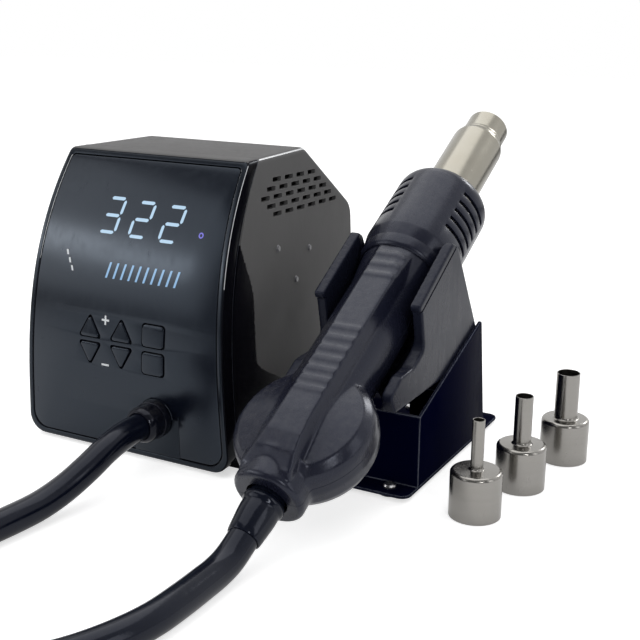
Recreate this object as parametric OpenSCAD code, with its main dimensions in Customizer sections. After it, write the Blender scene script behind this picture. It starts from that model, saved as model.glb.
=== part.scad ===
// Hot air rework station: control box, bent sheet stand with a moulded cradle,
// hand-piece with a blower in its tail, three slip-on nozzles and one hose.
// Millimetres, +Z up, fronts face -Y. The table top is Z = 0.

/* [Control box] */
// Height of the box over the table
body_h = 145; // [120:1:180]
// Width of the box at the table, at its front edge
body_w = 123; // [105:1:145]
// Depth of the box at the table
body_d = 153.5; // [130:0.5:185]
// Depth of the flat part of the top
top_d = 60; // [45:1:75]
// Drop of the rear slope, from the top down to the upright back
rear_drop = 38.5; // [25:0.5:50]
// How far the top of the front face leans back
front_lean = 34; // [20:1:45]
// Wall of the moulded shells
shell_wall = 2.2; // [1.6:0.1:3]
// Height of the seam between the bottom tray and the upper shell
seam_z = 10; // [8:0.5:16]
// Depth of the glossy front frame, front to back
bezel_d = 10; // [8:0.5:14]
// Visible border of the front frame round the dark panel
bezel_border = 3.2; // [2:0.1:6]
// Thickness of the dark front panel
lens_t = 2.4; // [1.5:0.1:3.5]

/* [Keys] */
// Distance between key columns
key_pitch_x = 19; // [17:0.5:22]
// Height of the middle of the upper key row
key_row_up = 63.5; // [60:0.5:70]
// Height of the middle of the lower key row
key_row_down = 50; // [44:0.5:50]
// Width of a key
key_w = 12.4; // [9:0.1:14]
// Height of a key
key_h = 10.6; // [8:0.1:11.5]
// Travel of a key
key_travel = 1; // [0.5:0.1:1.2]

/* [Stand] */
// Height of the sheet walls at the front
wall_front_h = 37.3; // [30:0.1:45]
// Height of the sheet walls at the back
wall_back_h = 64.7; // [55:0.1:75]
// Sheet thickness of the stand
sheet_t = 1.5; // [1:0.1:2.5]
// Width of the stand over its two walls
stand_w = 56.8; // [52:0.1:65]
// Length of the base plate
base_len = 120; // [105:1:140]
// Height of the shelf under the cradle
shelf_z = 46.4; // [42:0.1:48]
// Thickness of the cradle's moulded floor
cradle_floor = 3; // [2:0.1:4]
// Gap between the two cheeks of the cradle
cradle_gap = 43.2; // [42:0.1:46]

/* [Hand-piece] */
// Slope of the hand-piece in the cradle, in degrees above the table
hand_tilt = 30; // [25:1:34]
// Radius of the grip
grip_r = 17.7; // [16:0.1:17.8]
// Turn of the hand-piece in the cradle, its mouth to the right, in degrees
hand_turn = 1.4; // [0:0.1:1.6]
// Height of the raised grip panel over the axis
panel_n = 20; // [18.5:0.1:21]
// Radius of the blower bulge
bulge_r = 31.2; // [27:0.1:33]
// Distance of the blower shaft from the tail
bulge_s = 36; // [34:0.5:38]
// Distance of the grip's upper end from the tail
grip_end = 137; // [130:0.5:140]
// Outer radius of the slotted collar
collar_r = 21.6; // [21:0.1:24]
// Length of the slotted collar
collar_len = 56.5; // [50:0.5:64]
// Radius of the heater barrel
barrel_r = 13.5; // [13:0.1:15.2]
// Radius of the narrow mouth that the nozzles slip over
mouth_r = 11; // [10.5:0.05:11.5]
// Length of the whole hand-piece from tail to mouth
hand_len = 257; // [250:1:270]
// Blade tip radius of the blower wheel
impeller_r = 17; // [14:0.5:18]
// Count of blower blades
blade_count = 11; // [7:1:15]

/* [Nozzles] */
// Height of a nozzle's wide barrel
nozzle_barrel_h = 21.5; // [18:0.5:26]
// Height of a whole nozzle
nozzle_h = 44.5; // [38:0.5:52]
// Sheet thickness of the nozzles
nozzle_t = 0.45; // [0.3:0.05:0.8]
// Clearance between a nozzle and the mouth
nozzle_fit = 0.1; // [0.05:0.05:0.2]
// Outlet tube radii, small to large
nozzle_tube_r = [2.75, 4.1, 5.6];

/* [Hose] */
// Outer diameter of the hose
hose_d = 13; // [10:0.5:14]

/* [Hidden] */
$fn = 64;

// Places of the three groups on the table
station_at = [-70.5, -52];
stand_x = 46;
stand_front = -35;
// The tail end lies a little to the left of the cradle's middle
hand_shift = 3.8;
cradle_at = [stand_x, -102.5, 22.8];
tail_at = cradle_at - [hand_shift, 0, 0];
hand_dir = [sin(hand_turn) * cos(hand_tilt), cos(hand_turn) * cos(hand_tilt), sin(hand_tilt)];
nozzle_at = [[104.5, -29.5], [112, 9], [120, 51.5]];

// Shared gaps
touch = 0.05;
gap = 0.3;
slot_gap = 0.4;

// Control box form
foot_z = 1.5;
side_rise = 0.0403;
side_run = 0.073;
side_len = sqrt(1 + side_rise * side_rise + side_run * side_run);
side_tilt = -asin(side_rise / side_len);
side_yaw = atan(side_run);
top_front_y = front_lean;
top_back_y = front_lean + top_d;
rear_z = body_h - rear_drop;
slope_turn = atan2(rear_drop, body_d - top_back_y);
board_lean = 12;
board_y = 12;
board_z = 45;
board_t = 1.6;
opening_low = 38;

// Keys, as column, row and pointing direction
key_x0 = -19;
key_cols = [key_x0, key_x0 + key_pitch_x, key_x0 + 2 * key_pitch_x];
key_depth = 7.5;
key_proud = 0.35;

// Gland
gland_at = [20, 23.2];
gland_r = hose_d / 2 + 2.9;
gland_nut_r = hose_d / 2 + 2.4;
gland_nose_r = hose_d / 2 + 0.7;
gland_shank_r = hose_d / 2 + 0.1;
gland_face_y = -0.65;
gland_flange_t = 4;
gland_nut_len = 9.35;
notch_half = gland_r + 4;
notch_up = 1.3;
notch_gap = 0.5;

// Rear panel
inlet_at = [-20, 34];
inlet_cut = [26.6, 19.6];
rocker_at = [18, 34];
rocker_cut = [19.2, 13];
rocker_rest = 8;
rocker_r = 6.4;
rocker_half = 5.3;

// Stand
wall_front_y = stand_front + 12.4;
wall_back_y = stand_front + 86.8;
wall_foot_y = stand_front + 97.5;
plate_z = 1.5;
wall_in = stand_w / 2 - sheet_t;
cheek_in = cradle_gap / 2;
cheek_out = wall_in - slot_gap;
// Lower end of the cheeks, just past the bulge
low_shift = hand_shift - 60 * hand_dir[0];
cradle_low = bulge_s + sqrt(pow(bulge_r + gap, 2) - pow(cheek_in - low_shift, 2));
cradle_high = 149.5;
ear_low = 98;
ear_n = 17;
lip_n = 3.2;
// The trough is wider than the grip, which lies turned in it
cradle_fit = 1.35;
u_shift = cheek_in - grip_r - cradle_fit;
floor_n = grip_r + cradle_fit;
shelf_t = 1.2;
shelf_y = [wall_front_y + 28.6, wall_back_y - 1];
back_gap = 18;
cradle_screw_y = [shelf_y[0] + 9, shelf_y[1] - 8];
cradle_screw_x = (cheek_in + cheek_out) / 2;

// Hand-piece
hand_wall = 2.2;
panel_half = 10.2;
boss_r = 16;
tail_hole_r = 9.3;
band_r = grip_r + 2.4;
collar_from = grip_end;
collar_to = grip_end + collar_len;
collar_wall = 2;
barrel_from = grip_end + 7.4;
barrel_step = hand_len - 17;
relief_len = 20;
core_half = barrel_r - 2.4;
motor_r = 11.5;
motor_n = [-1, 10.2];
wheel_n = [-12, -3];
shaft_r = 1;
bore_fit = 0.05;
screw_spots = [[-13.2, 18.8], [13.2, 18.8], [-11.2, 70], [11.2, 70]];
post_r = 2.8;

// Hose route, chosen by hand: out of the gland, along the table to the coil
hose_r = hose_d / 2;
station_route = [
    [-50.5, -66, 23.2], [-50.5, -76, 22.8], [-51, -88, 20.3], [-52, -101, 15.4],
    [-54, -114, 10.6], [-56, -127, 7.6], [-58, -140, 6.6], [-60, -154, 6.5],
    [-63, -170, 6.5], [-69, -186, 6.5], [-78, -201, 6.5], [-91, -216, 6.5], [-108, -232, 6.5]
];
// From the top of the coil back along the table and up to the hand-piece
hand_route = [
    [8, -280, 19.5], [9, -265, 19], [12, -251, 16], [17, -236, 11.3], [23.5, -221, 7.9],
    [30.5, -207, 6.7], [36.5, -192, 6.5], [40.2, -177, 6.5], [41.2, -162, 6.5],
    [41.3, -148, 6.5], [41.4, -138, 6.8], [41.6, -129, 8.7], tail_at - (relief_len + touch) * hand_dir
];
coil_at = [-60, -280];
coil_r = 68;
coil_h = 2 * hose_d;
hose_sides = 10;

// Setback of the curved front face at a height, in straight steps that every layer shares
curve_steps = 24;
function front_curve(t) = front_lean * (-0.0755 * t - 0.269 * t * t + 1.3445 * t * t * t);
function front_y(z) =
    let (k = max(0, min(curve_steps - 1, floor(z / body_h * curve_steps))))
    let (from = front_curve(k / curve_steps), to = front_curve((k + 1) / curve_steps))
    from + (to - from) * (z / body_h * curve_steps - k);
// Heights of those steps between two levels, with the levels themselves
function front_levels(low, high) =
    concat([low], [for (k = [0:curve_steps]) let (z = body_h * k / curve_steps)
        if (z > low + 0.2 && z < high - 0.2) z], [high]);
// Half width of the box between its two leaning sides
function half_width(y, z) = body_w / 2 - side_rise * z - side_run * y;
function unit(v) = v / norm(v);
// Arc that rounds the corner b between a and c with radius r
function corner_arc(a, b, c, r, steps) =
    let (u = unit(a - b))
    let (v = unit(c - b))
    let (half = acos(max(-1, min(1, u * v))) / 2)
    let (start = b + u * r / tan(half))
    let (middle = b + unit(u + v) * r / sin(half))
    let (from = atan2(start[1] - middle[1], start[0] - middle[0]))
    let (turn = (u[0] * v[1] - u[1] * v[0] > 0 ? -1 : 1) * (180 - 2 * half))
    [for (i = [0:steps]) middle + r * [cos(from + turn * i / steps), sin(from + turn * i / steps)]];
// Outline with its corners rounded; each point is x, y and corner radius
function rounded(points, steps = 5) =
    let (n = len(points))
    [for (i = [0:n - 1])
        let (a = points[(i + n - 1) % n], b = points[i], c = points[(i + 1) % n])
        each (b[2] <= 0 ? [[b[0], b[1]]]
            : corner_arc([a[0], a[1]], [b[0], b[1]], [c[0], c[1]], b[2], steps))];
function box_outline(w, h, r) =
    rounded([[-w / 2, -h / 2, r], [w / 2, -h / 2, r], [w / 2, h / 2, r], [-w / 2, h / 2, r]]);

// Outline of the front face seen from the front, inset all round
function front_outline(inset, low_r, top_r, low = foot_z) =
    let (z0 = low + inset, z1 = body_h - inset)
    let (w0 = half_width(front_y(z0), z0) - inset, w1 = half_width(front_y(z1), z1) - inset)
    rounded([[-w0, z0, low_r], [w0, z0, low_r], [w1, z1, top_r], [-w1, z1, top_r]], 6);
// Side profile of the box behind its front frame, inset by a wall, its front moved on by lead
function side_profile(inset, low, lead) =
    concat(
        [for (z = front_levels(low, body_h - inset)) [front_y(z) + bezel_d - lead, z]],
        corner_arc(
            [top_front_y + bezel_d, body_h - inset],
            [top_back_y - inset * tan(slope_turn / 2), body_h - inset],
            [body_d - inset, rear_z - inset * tan(45 - slope_turn / 2)], 11 - inset, 5),
        corner_arc(
            [top_back_y - inset * tan(slope_turn / 2), body_h - inset],
            [body_d - inset, rear_z - inset * tan(45 - slope_turn / 2)],
            [body_d - inset, low], 12 - inset, 5),
        [[body_d - inset, low]]
    );
// Curved strip that follows the front face, from one setback to another
function front_strip(from, to, low, high) =
    let (levels = front_levels(low, high), n = len(levels))
    concat(
        [for (i = [0:n - 1]) [front_y(levels[i]) + from, levels[i]]],
        [for (i = [n - 1:-1:0]) [front_y(levels[i]) + to, levels[i]]]
    );

module on_station() translate([station_at[0], station_at[1], 0]) children();
// Local X across, local Z along the axis to the mouth, local -Y to the finger side
module on_hand() translate(tail_at) rotate([0, 0, -hand_turn]) rotate([hand_tilt - 90, 0, 0]) children();
// The same for the cradle, which stands square to the table
module on_cradle() translate(cradle_at) rotate([hand_tilt - 90, 0, 0]) children();
// A side profile in Y and Z, drawn out across X
module across(width) rotate([90, 0, 90]) translate([0, 0, -width / 2]) linear_extrude(width) children();
// An outline in X and Z, drawn out along Y from y0 to y1
module along_y(y0, y1) translate([0, y1, 0]) rotate([90, 0, 0]) linear_extrude(y1 - y0) children();
// A bar along X
module bar_x(r, x0, x1) translate([x0, 0, 0]) rotate([0, 90, 0]) cylinder(r = r, h = x1 - x0);
// A bar along Y
module bar_y(r, y0, y1) translate([0, y1, 0]) rotate([90, 0, 0]) cylinder(r = r, h = y1 - y0);

module box_solid(inset, low, lead = 0)
    intersection() {
        across(body_w + 10) polygon(side_profile(inset, low, lead));
        side_half(0, inset);
        side_half(1, inset);
    }

// Everything on the inner side of one leaning side wall
module side_half(flip, inset) {
    reach = 2 * body_d;
    mirror([flip, 0, 0])
        translate([body_w / 2 - inset * side_len, 0, 0])
            rotate([0, side_tilt, side_yaw])
                translate([-reach, -reach, -reach]) cube([reach, 2 * reach, 2 * reach]);
}

// Places a piece on the right side wall, local X pointing out
module on_side(y, z) translate([half_width(y, z), y, z]) rotate([0, side_tilt, side_yaw]) children();
// Vent rows of a side: height, first slot and count
vent_rows = [[133, 61, 4], [129.1, 54.8, 5], [125.2, 48.2, 6], [120.7, 54.2, 6], [116.2, 60.3, 6]];
vent_pitch = 13.3;
vent_fall = 2.3;
vent_size = [9.2, 2.4];

module vent_slots()
    for (row = vent_rows, i = [0:row[2] - 1])
        translate([0, row[1], row[0]])
            rotate([-vent_fall, 0, 0])
                translate([0, i * vent_pitch, 0])
                    cube([body_w, vent_size[0], vent_size[1]], center = true);

post_spots = [[49, 30], [42, body_d - 14]];
module housing() color([0.13, 0.13, 0.15]) on_station() {
    difference() {
        box_solid(0, seam_z);
        difference() {
            box_solid(shell_wall, seam_z - 1, 5);
            housing_posts();
        }
        vent_slots();
        rear_cuts();
        post_holes();
    }
}

module housing_posts()
    for (side = [-1, 1], spot = post_spots)
        translate([side * spot[0], spot[1], 0]) {
            cylinder(r = 4, h = 30);
            translate([side > 0 ? 0 : -12, -1, 0]) cube([12, 2, 30]);
        }

module post_holes()
    for (side = [-1, 1], spot = post_spots)
        translate([side * spot[0], spot[1], 0]) cylinder(r = 1.5, h = 22);

module rear_cuts() {
    translate([inlet_at[0], body_d, inlet_at[1]])
        cube([inlet_cut[0], 3 * shell_wall, inlet_cut[1]], center = true);
    translate([rocker_at[0], body_d, rocker_at[1]])
        cube([rocker_cut[0], 3 * shell_wall, rocker_cut[1]], center = true);
}

pan_floor = 2.5;
module base_pan() color([0.1, 0.1, 0.11]) on_station()
    difference() {
        union() {
            difference() {
                pan_solid(0, foot_z, seam_z);
                pan_solid(shell_wall, foot_z + pan_floor, seam_z + 1);
            }
            for (side = [-1, 1], spot = post_spots)
                translate([side * spot[0], spot[1], foot_z]) cylinder(r = 5, h = seam_z - foot_z);
            for (x = [-32, 32], y = [42, 122])
                translate([x, y, foot_z]) cylinder(r = 3, h = 10.5);
        }
        for (side = [-1, 1], spot = post_spots)
            translate([side * spot[0], spot[1], foot_z]) {
                translate([0, 0, -1]) cylinder(r = 1.65, h = 20);
                translate([0, 0, -1]) cylinder(r = 3.2, h = 3.2);
            }
        for (spot = foot_spots)
            translate([spot[0], spot[1], 0]) cylinder(r = 2.05, h = 10);
        for (x = [-32, 32], y = [42, 122])
            translate([x, y, foot_z + pan_floor + 1]) cylinder(r = 1.2, h = 10);
    }

module pan_solid(inset, low, high)
    intersection() {
        across(body_w + 10)
            polygon([[front_y(0) + bezel_d + inset, low], [body_d - inset, low],
                [body_d - inset, high], [front_y(0) + bezel_d + inset, high]]);
        side_half(0, inset);
        side_half(1, inset);
    }

foot_spots = [[-44, 20], [44, 20], [-36, body_d - 26], [36, body_d - 26]];
module rubber_feet() color([0.06, 0.06, 0.06]) on_station()
    for (spot = foot_spots)
        translate([spot[0], spot[1], 0]) {
            cylinder(r1 = 5.6, r2 = 6.4, h = foot_z);
            cylinder(r = 2, h = foot_z + pan_floor + 1);
        }

module case_screws() color("silver") on_station()
    for (side = [-1, 1], spot = post_spots)
        translate([side * spot[0], spot[1], foot_z + 0.2])
            difference() {
                union() {
                    cylinder(r = 3, h = 2);
                    cylinder(r = 1.45, h = 17);
                }
                for (turn = [0, 90])
                    rotate([0, 0, turn]) cube([3.2, 0.8, 1.8], center = true);
            }

module bezel() color([0.05, 0.05, 0.06]) on_station()
    difference() {
        intersection() {
            across(body_w + 10) polygon(front_strip(0, bezel_d, foot_z, body_h));
            side_half(0, 0);
            side_half(1, 0);
            along_y(-5, front_lean + bezel_d + 5) polygon(front_outline(0, 9, 2.5));
        }
        // Seat of the dark panel, left standing round the gland
        difference() {
            lens_form(0.2, bezel_border - 0.2, -2);
            gland_land(0.2);
        }
        // Window behind the panel
        along_y(-5, front_lean + bezel_d + 5) polygon(window_outline());
        // Hollow at the back
        intersection() {
            across(body_w) polygon(front_strip(bezel_web, bezel_d + 5, foot_z, body_h));
            along_y(-5, front_lean + bezel_d + 5) polygon(front_outline(bezel_border - 0.8, 8, 2));
        }
        translate([gland_at[0], 0, gland_at[1]]) bar_y(gland_shank_r + 0.1, -5, 30);
    }
bezel_web = lens_t + 2.8;

function window_outline() =
    let (z1 = body_h - bezel_border - 4, w0 = half_width(front_y(opening_low), opening_low) - 8)
    let (w1 = half_width(front_y(z1), z1) - 8)
    rounded([[-w0, opening_low, 3], [w0, opening_low, 3], [w1, z1, 3], [-w1, z1, 3]]);

// Curved plate behind the front face, grown to the front by lead
module lens_form(grow, inset, lead)
    intersection() {
        across(body_w) polygon(front_strip(lead, lens_t + 0.3 + grow, foot_z, body_h));
        along_y(-5, front_lean + bezel_d + 5) polygon(front_outline(inset, 8, 2));
    }

// The notch that the dark panel leaves for the gland
module gland_land(shrink)
    along_y(-5, 20) {
        translate(gland_at) circle(r = gland_r + notch_gap - shrink);
        translate([gland_at[0], 0])
            polygon(rounded([[shrink - notch_half, 0, 0], [notch_half - shrink, 0, 0],
                [notch_half - shrink, gland_at[1] + notch_up - shrink, 2],
                [shrink - notch_half, gland_at[1] + notch_up - shrink, 2]]));
    }

module lens_panel() color([0.03, 0.035, 0.05]) on_station()
    difference() {
        lens_form(0, bezel_border, 0.3);
        gland_land(0);
        for (i = [0:5])
            along_y(-6, 20) key_outline(i, 0.45);
    }

// Key outlines in X and Z: up, down, up, down, square, square
key_names = ["key_temp_up", "key_temp_down", "key_air_up", "key_air_down", "key_mode", "key_set"];
function key_spot(i) = [key_cols[floor(i / 2)], i % 2 == 0 ? key_row_up : key_row_down];
// Flat back of a key, in Y
function key_back(i) = front_y(key_spot(i)[1] + key_h / 2) + key_depth;
module key_outline(i, grow) {
    w = key_w / 2 + grow;
    h = key_h / 2 + grow;
    tip = i % 2 == 0 ? 1 : -1;
    translate(key_spot(i))
        polygon(i > 3 ? rounded([[-w, -h, 2], [w, -h, 2], [w, h, 2], [-w, h, 2]])
            : rounded([[-w - grow, -tip * h, 1], [w + grow, -tip * h, 1], [0, tip * (h + grow), 1]], 4));
}

module key_cap(i) {
    spot = key_spot(i);
    on_station() {
        intersection() {
            along_y(-6, key_back(i)) key_outline(i, 0);
            across(body_w) polygon(front_strip(-key_proud, 30, spot[1] - 12, spot[1] + 12));
        }
        // Collar that keeps the key behind the panel
        intersection() {
            along_y(-6, key_back(i)) key_outline(i, 0.9);
            across(body_w) polygon(front_strip(lens_t + 0.5, 30, spot[1] - 12, spot[1] + 12));
        }
    }
}
module key_temp_up() color([0.06, 0.06, 0.07]) key_cap(0);
module key_temp_down() color([0.06, 0.06, 0.07]) key_cap(1);
module key_air_up() color([0.06, 0.06, 0.07]) key_cap(2);
module key_air_down() color([0.06, 0.06, 0.07]) key_cap(3);
module key_mode() color([0.06, 0.06, 0.07]) key_cap(4);
module key_set() color([0.06, 0.06, 0.07]) key_cap(5);

// Local frame of the sloping board behind the panel, Z up the board
module on_board() translate([0, board_y, board_z]) rotate([-board_lean, 0, 0]) children();
board_top = (body_h - 14 - board_z) / cos(board_lean);
module control_board() color([0.05, 0.25, 0.12]) on_station() {
    on_board() translate([-46, 0, -6]) cube([92, board_t, board_top + 6]);
    for (i = [0:5]) {
        spot = key_spot(i);
        back = key_back(i) + key_travel + 0.1;
        depth = board_y + (spot[1] - board_z) * tan(board_lean) - back + 0.8;
        translate([spot[0] - 2.5, back, spot[1] - 2.5]) cube([5, depth, 5]);
    }
}

display_z = [40, 84];
module display_module() color([0.85, 0.88, 0.95]) on_station()
    difference() {
        on_board() translate([-30, -6, display_z[0]]) cube([70, 6 - touch, display_z[1] - display_z[0]]);
        across(body_w) polygon(front_strip(-20, lens_t + 1, foot_z, body_h));
    }

module power_board() color([0.05, 0.22, 0.12]) on_station()
    difference() {
        union() {
            translate([-38, 34, foot_z + 10.5]) cube([76, 96, board_t]);
            for (x = [-24, -10]) translate([x, 96, foot_z + 12]) cylinder(r = 6, h = 22);
            translate([14, 90, foot_z + 12]) cube([16, 8, 14]);
        }
        for (x = [-32, 32], y = [42, 122])
            translate([x, y, foot_z]) cylinder(r = 1.4, h = 20);
    }

module transformer() color([0.5, 0.42, 0.2]) on_station()
    translate([-26, 50, foot_z + 10.5 + board_t + touch]) {
        cube([34, 30, 12]);
        translate([0, 5, 12]) cube([34, 20, 14]);
        translate([6, 0, 12]) cube([22, 30, 14]);
    }

module heatsink() color([0.7, 0.7, 0.72]) on_station()
    translate([18, 46, foot_z + 10.5 + board_t + touch]) {
        cube([3, 36, 30]);
        for (i = [0:6]) translate([3, 5 * i, 0]) cube([10, 2, 30]);
    }

module mains_inlet() color([0.07, 0.07, 0.07]) on_station()
    translate([inlet_at[0], body_d, inlet_at[1]]) {
        difference() {
            union() {
                along_y(touch, 2.6) polygon(box_outline(31, 24, 3));
                along_y(-16, 1) polygon(box_outline(inlet_cut[0] - 0.2, inlet_cut[1] - 0.2, 1));
            }
            along_y(-14, 5)
                polygon([[-12, -8.4], [12, -8.4], [12, 4.4], [8, 8.4], [-8, 8.4], [-12, 4.4]]);
            for (x = [-7, 0, 7])
                translate([x, -15, x == 0 ? 2 : -1.8]) cube([2.1, 6, 4.1], center = true);
        }
    }

module inlet_pins() color("silver") on_station()
    translate([inlet_at[0], body_d, inlet_at[1]])
        for (x = [-7, 0, 7])
            translate([x, -9.5, x == 0 ? 2 : -1.8]) cube([2, 13, 4], center = true);

module rocker_frame() color([0.06, 0.06, 0.06]) on_station()
    translate([rocker_at[0], body_d, rocker_at[1]])
        difference() {
            union() {
                along_y(touch, 2) polygon(box_outline(22, 16, 1.5));
                along_y(-12, 1) polygon(box_outline(rocker_cut[0] - 0.2, rocker_cut[1] - 0.2, 0.5));
            }
            translate([0, -4, 0]) cube([2 * rocker_r + 0.9, 15, 2 * rocker_half - 0.9 + 1.6], center = true);
            rotate([0, 0, 0]) translate([0, -1.5, 0]) cylinder(r = 1 + bore_fit, h = 12.4, center = true);
        }

// Rocks about its upright pin; one end stands out at rest
module rocker() color([0.05, 0.05, 0.05]) on_station()
    translate([rocker_at[0], body_d - 1.5, rocker_at[1]])
        rotate([0, 0, rocker_rest]) {
            linear_extrude(2 * rocker_half, center = true)
                polygon([[-6.2, 2.6], [-5.9, 4.4], [-3, 4.1], [0, 3.6], [3, 4.1], [5.9, 4.4], [6.2, 2.6],
                    [4.6, -3.2], [2, -4.6], [-2, -4.6], [-4.6, -3.2]]);
            cylinder(r = 1, h = 12, center = true);
        }

module side_pips() color([0.2, 0.2, 0.22]) on_station()
    for (spot = [[59.4, 98.9], [95.2, 92.5], [78.4, 79.3]])
        on_side(spot[0], spot[1])
            rotate([0, 90, 0]) {
                translate([0, 0, touch]) cylinder(r1 = 1.9, r2 = 1.2, h = 0.9);
            }

// Cable gland through the lower front
module on_gland() translate([gland_at[0], gland_face_y, gland_at[1]]) children();
module gland_body() color([0.06, 0.06, 0.07]) on_station() on_gland() {
    bar_y(gland_r, -gland_flange_t, 0);
    bar_y(gland_shank_r, -1, bezel_d + 7);
}

module gland_nut() color([0.07, 0.07, 0.08]) on_station() on_gland()
    difference() {
        translate([0, -gland_flange_t, 0]) rotate([90, 0, 0])
            rotate_extrude()
                polygon([[0, 0], [gland_nut_r, 0], [gland_nut_r, 5.2], [gland_nut_r - 0.4, 6.8],
                    [gland_nose_r + 0.8, 8.4], [gland_nose_r, gland_nut_len], [0, gland_nut_len]]);
        for (i = [0:7])
            rotate([0, 45 * i + 22.5, 0]) translate([gland_nut_r + 1.2, 0, 0])
                bar_y(1.7, -gland_flange_t - 4.4, -gland_flange_t + 1);
    }

module gland_locknut() color([0.07, 0.07, 0.08]) on_station() on_gland()
    difference() {
        translate([0, bezel_web + 4.8, 0]) rotate([90, 0, 0]) cylinder(r = gland_shank_r + 2.9, h = 4, $fn = 6);
        bar_y(gland_shank_r + 0.1, 0, 30);
    }

// Base plate with two upright walls bent up from it
module stand_bracket() color([0.04, 0.045, 0.07])
    difference() {
        union() {
            translate([stand_x, stand_front, plate_z])
                linear_extrude(sheet_t)
                    polygon(rounded([[-stand_w / 2, 0, 5], [stand_w / 2, 0, 5],
                        [stand_w / 2, base_len, 5], [-stand_w / 2, base_len, 5]]));
            intersection() {
                translate([stand_x, stand_front + base_len, plate_z]) rotate([90, 0, 0])
                    linear_extrude(base_len) polygon(u_section());
                translate([stand_x, 0, 0]) across(stand_w + 2) polygon(wall_outline());
            }
            // Flanges of the walls, folded in to close the front
            for (side = [-1, 1])
                translate([stand_x + side * stand_w / 4, wall_front_y + sheet_t / 2, plate_z])
                    linear_extrude(wall_front_h - plate_z)
                        square([stand_w / 2 - 2 * touch, sheet_t], center = true);
            // Flange of the right wall, folded in under the shelf's rear end; the rest of the back is open
            translate([stand_x - wall_in + back_gap, wall_back_y - 1 + touch, plate_z])
                cube([wall_in + stand_w / 2 - back_gap - touch, sheet_t, shelf_z - shelf_t - 0.2 - plate_z]);
        }
        for (spot = stand_screw_spots)
            translate([spot[0], spot[1], 0]) cylinder(r = 1.6, h = 10);
    }

// The sheet seen from the front: floor and two walls with a bend radius
function u_section() =
    let (w = stand_w / 2, t = sheet_t, h = wall_back_h + 5)
    concat(
        [[-w, h]], corner_arc([-w, h], [-w, 0], [w, 0], 2.5, 5), corner_arc([-w, 0], [w, 0], [w, h], 2.5, 5),
        [[w, h], [w - t, h]], corner_arc([w - t, h], [w - t, t], [0, t], 1, 4),
        corner_arc([0, t], [t - w, t], [t - w, h], 1, 4), [[t - w, h]]
    );

function wall_outline() =
    rounded([[wall_front_y, plate_z, 0], [wall_front_y, wall_front_h, 2], [wall_back_y, wall_back_h, 2],
        [wall_foot_y, plate_z, 0]]);

stand_screw_spots = [for (x = [-16.5, 16.5], y = [7.5, base_len - 14]) [stand_x + x, stand_front + y]];
module stand_screws() color("silver")
    for (spot = stand_screw_spots)
        translate([spot[0], spot[1], plate_z + sheet_t + touch])
            difference() {
                union() {
                    rotate_extrude()
                        polygon([[0, 0], [3.1, 0], [3.1, 0.8], [2.6, 1.6], [1.6, 2.1], [0, 2.25]]);
                    translate([0, 0, -2.2]) cylinder(r = 1.5, h = 2.4);
                }
                for (turn = [0, 90])
                    translate([0, 0, 2.2]) rotate([0, 0, turn]) cube([3, 0.7, 1.8], center = true);
            }

module stand_feet() color([0.06, 0.06, 0.06])
    for (spot = stand_screw_spots)
        translate([spot[0], spot[1], 0])
            difference() {
                cylinder(r = 5, h = plate_z);
                translate([0, 0, 0.6]) cylinder(r = 1.7, h = 5);
            }

module cradle_shelf() color([0.04, 0.045, 0.07])
    difference() {
        translate([stand_x - wall_in + touch, shelf_y[0], shelf_z - shelf_t]) {
            cube([2 * (wall_in - touch), shelf_y[1] - shelf_y[0], shelf_t]);
            for (y = [0, shelf_y[1] - shelf_y[0] - shelf_t])
                translate([0, y, -5]) cube([2 * (wall_in - touch), shelf_t, 5.5]);
        }
        for (side = [-1, 1], y = cradle_screw_y)
            translate([stand_x + side * cradle_screw_x, y, 0]) cylinder(r = 1.6, h = 80);
    }

// Cheek outline across the hand-piece: n towards the fingers, s along the axis
function cheek_outline() =
    rounded([
        [60, cradle_low, 0], [-2, cradle_low, 2.5], [-2, cradle_low + 12, 4], [4, ear_low - 13, 9],
        [5, ear_low - 1, 4], [lip_n - ear_n, ear_low + 4.8, 0.6], [lip_n - ear_n, ear_low + 3.4, 0.4],
        [-ear_n, ear_low + 3.6, 1], [-ear_n - 0.4, cradle_high - 5, 2],
        [5 - ear_n, cradle_high - 0.8, 2], [60, cradle_high + 2, 0]
    ]);
// Draws an outline of local Y and Z out across local X
module hand_across(x0, x1) rotate([90, 0, 90]) translate([0, 0, x0]) linear_extrude(x1 - x0) children();

module cradle() color([0.09, 0.09, 0.11])
    difference() {
        on_cradle()
            difference() {
                hand_across(-cheek_out, cheek_out) polygon(cheek_outline());
                cradle_trough();
                // Open channel under the floor
                translate([-cheek_in, floor_n + cradle_floor, 0]) cube([2 * cheek_in, 90, 200]);
                translate([0, floor_n + cradle_floor - 2.05, magnet_s])
                    rotate([-90, 0, 0]) cylinder(r = 4.05, h = 20);
                // Groove under the lip, along the outer side of each cheek
                for (side = [-1, 1])
                    hand_across(side > 0 ? cheek_out - 0.9 : -cheek_out - 1, side > 0 ? cheek_out + 1 : 0.9 - cheek_out)
                        translate([lip_n - ear_n, ear_low]) square([1.1, cradle_high - ear_low + 5]);
            }
        // Room for the collar and the bulge, which lie turned with the hand-piece
        on_hand() {
            translate([0, 0, grip_end - flare_len])
                cylinder(r1 = grip_r + slot_gap, r2 = band_r + slot_gap, h = flare_len + touch);
            translate([0, 0, collar_from]) cylinder(r = band_r + slot_gap, h = 60);
            translate([0, 0, collar_from + 6 - gap])
                cylinder(r1 = band_r + slot_gap, r2 = collar_r + 2.4, h = 8);
            translate([0, 0, bulge_s]) rotate([90, 0, 0])
                rotate_extrude(convexity = 4) polygon(bulge_profile(-slot_gap));
        }
        translate([stand_x - 50, -200, -1]) cube([100, 400, shelf_z + 1]);
        for (side = [-1, 1], y = cradle_screw_y)
            translate([stand_x + side * cradle_screw_x, y, 0]) cylinder(r = 1.3, h = shelf_z + 9);
    }

magnet_s = 112;
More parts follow.
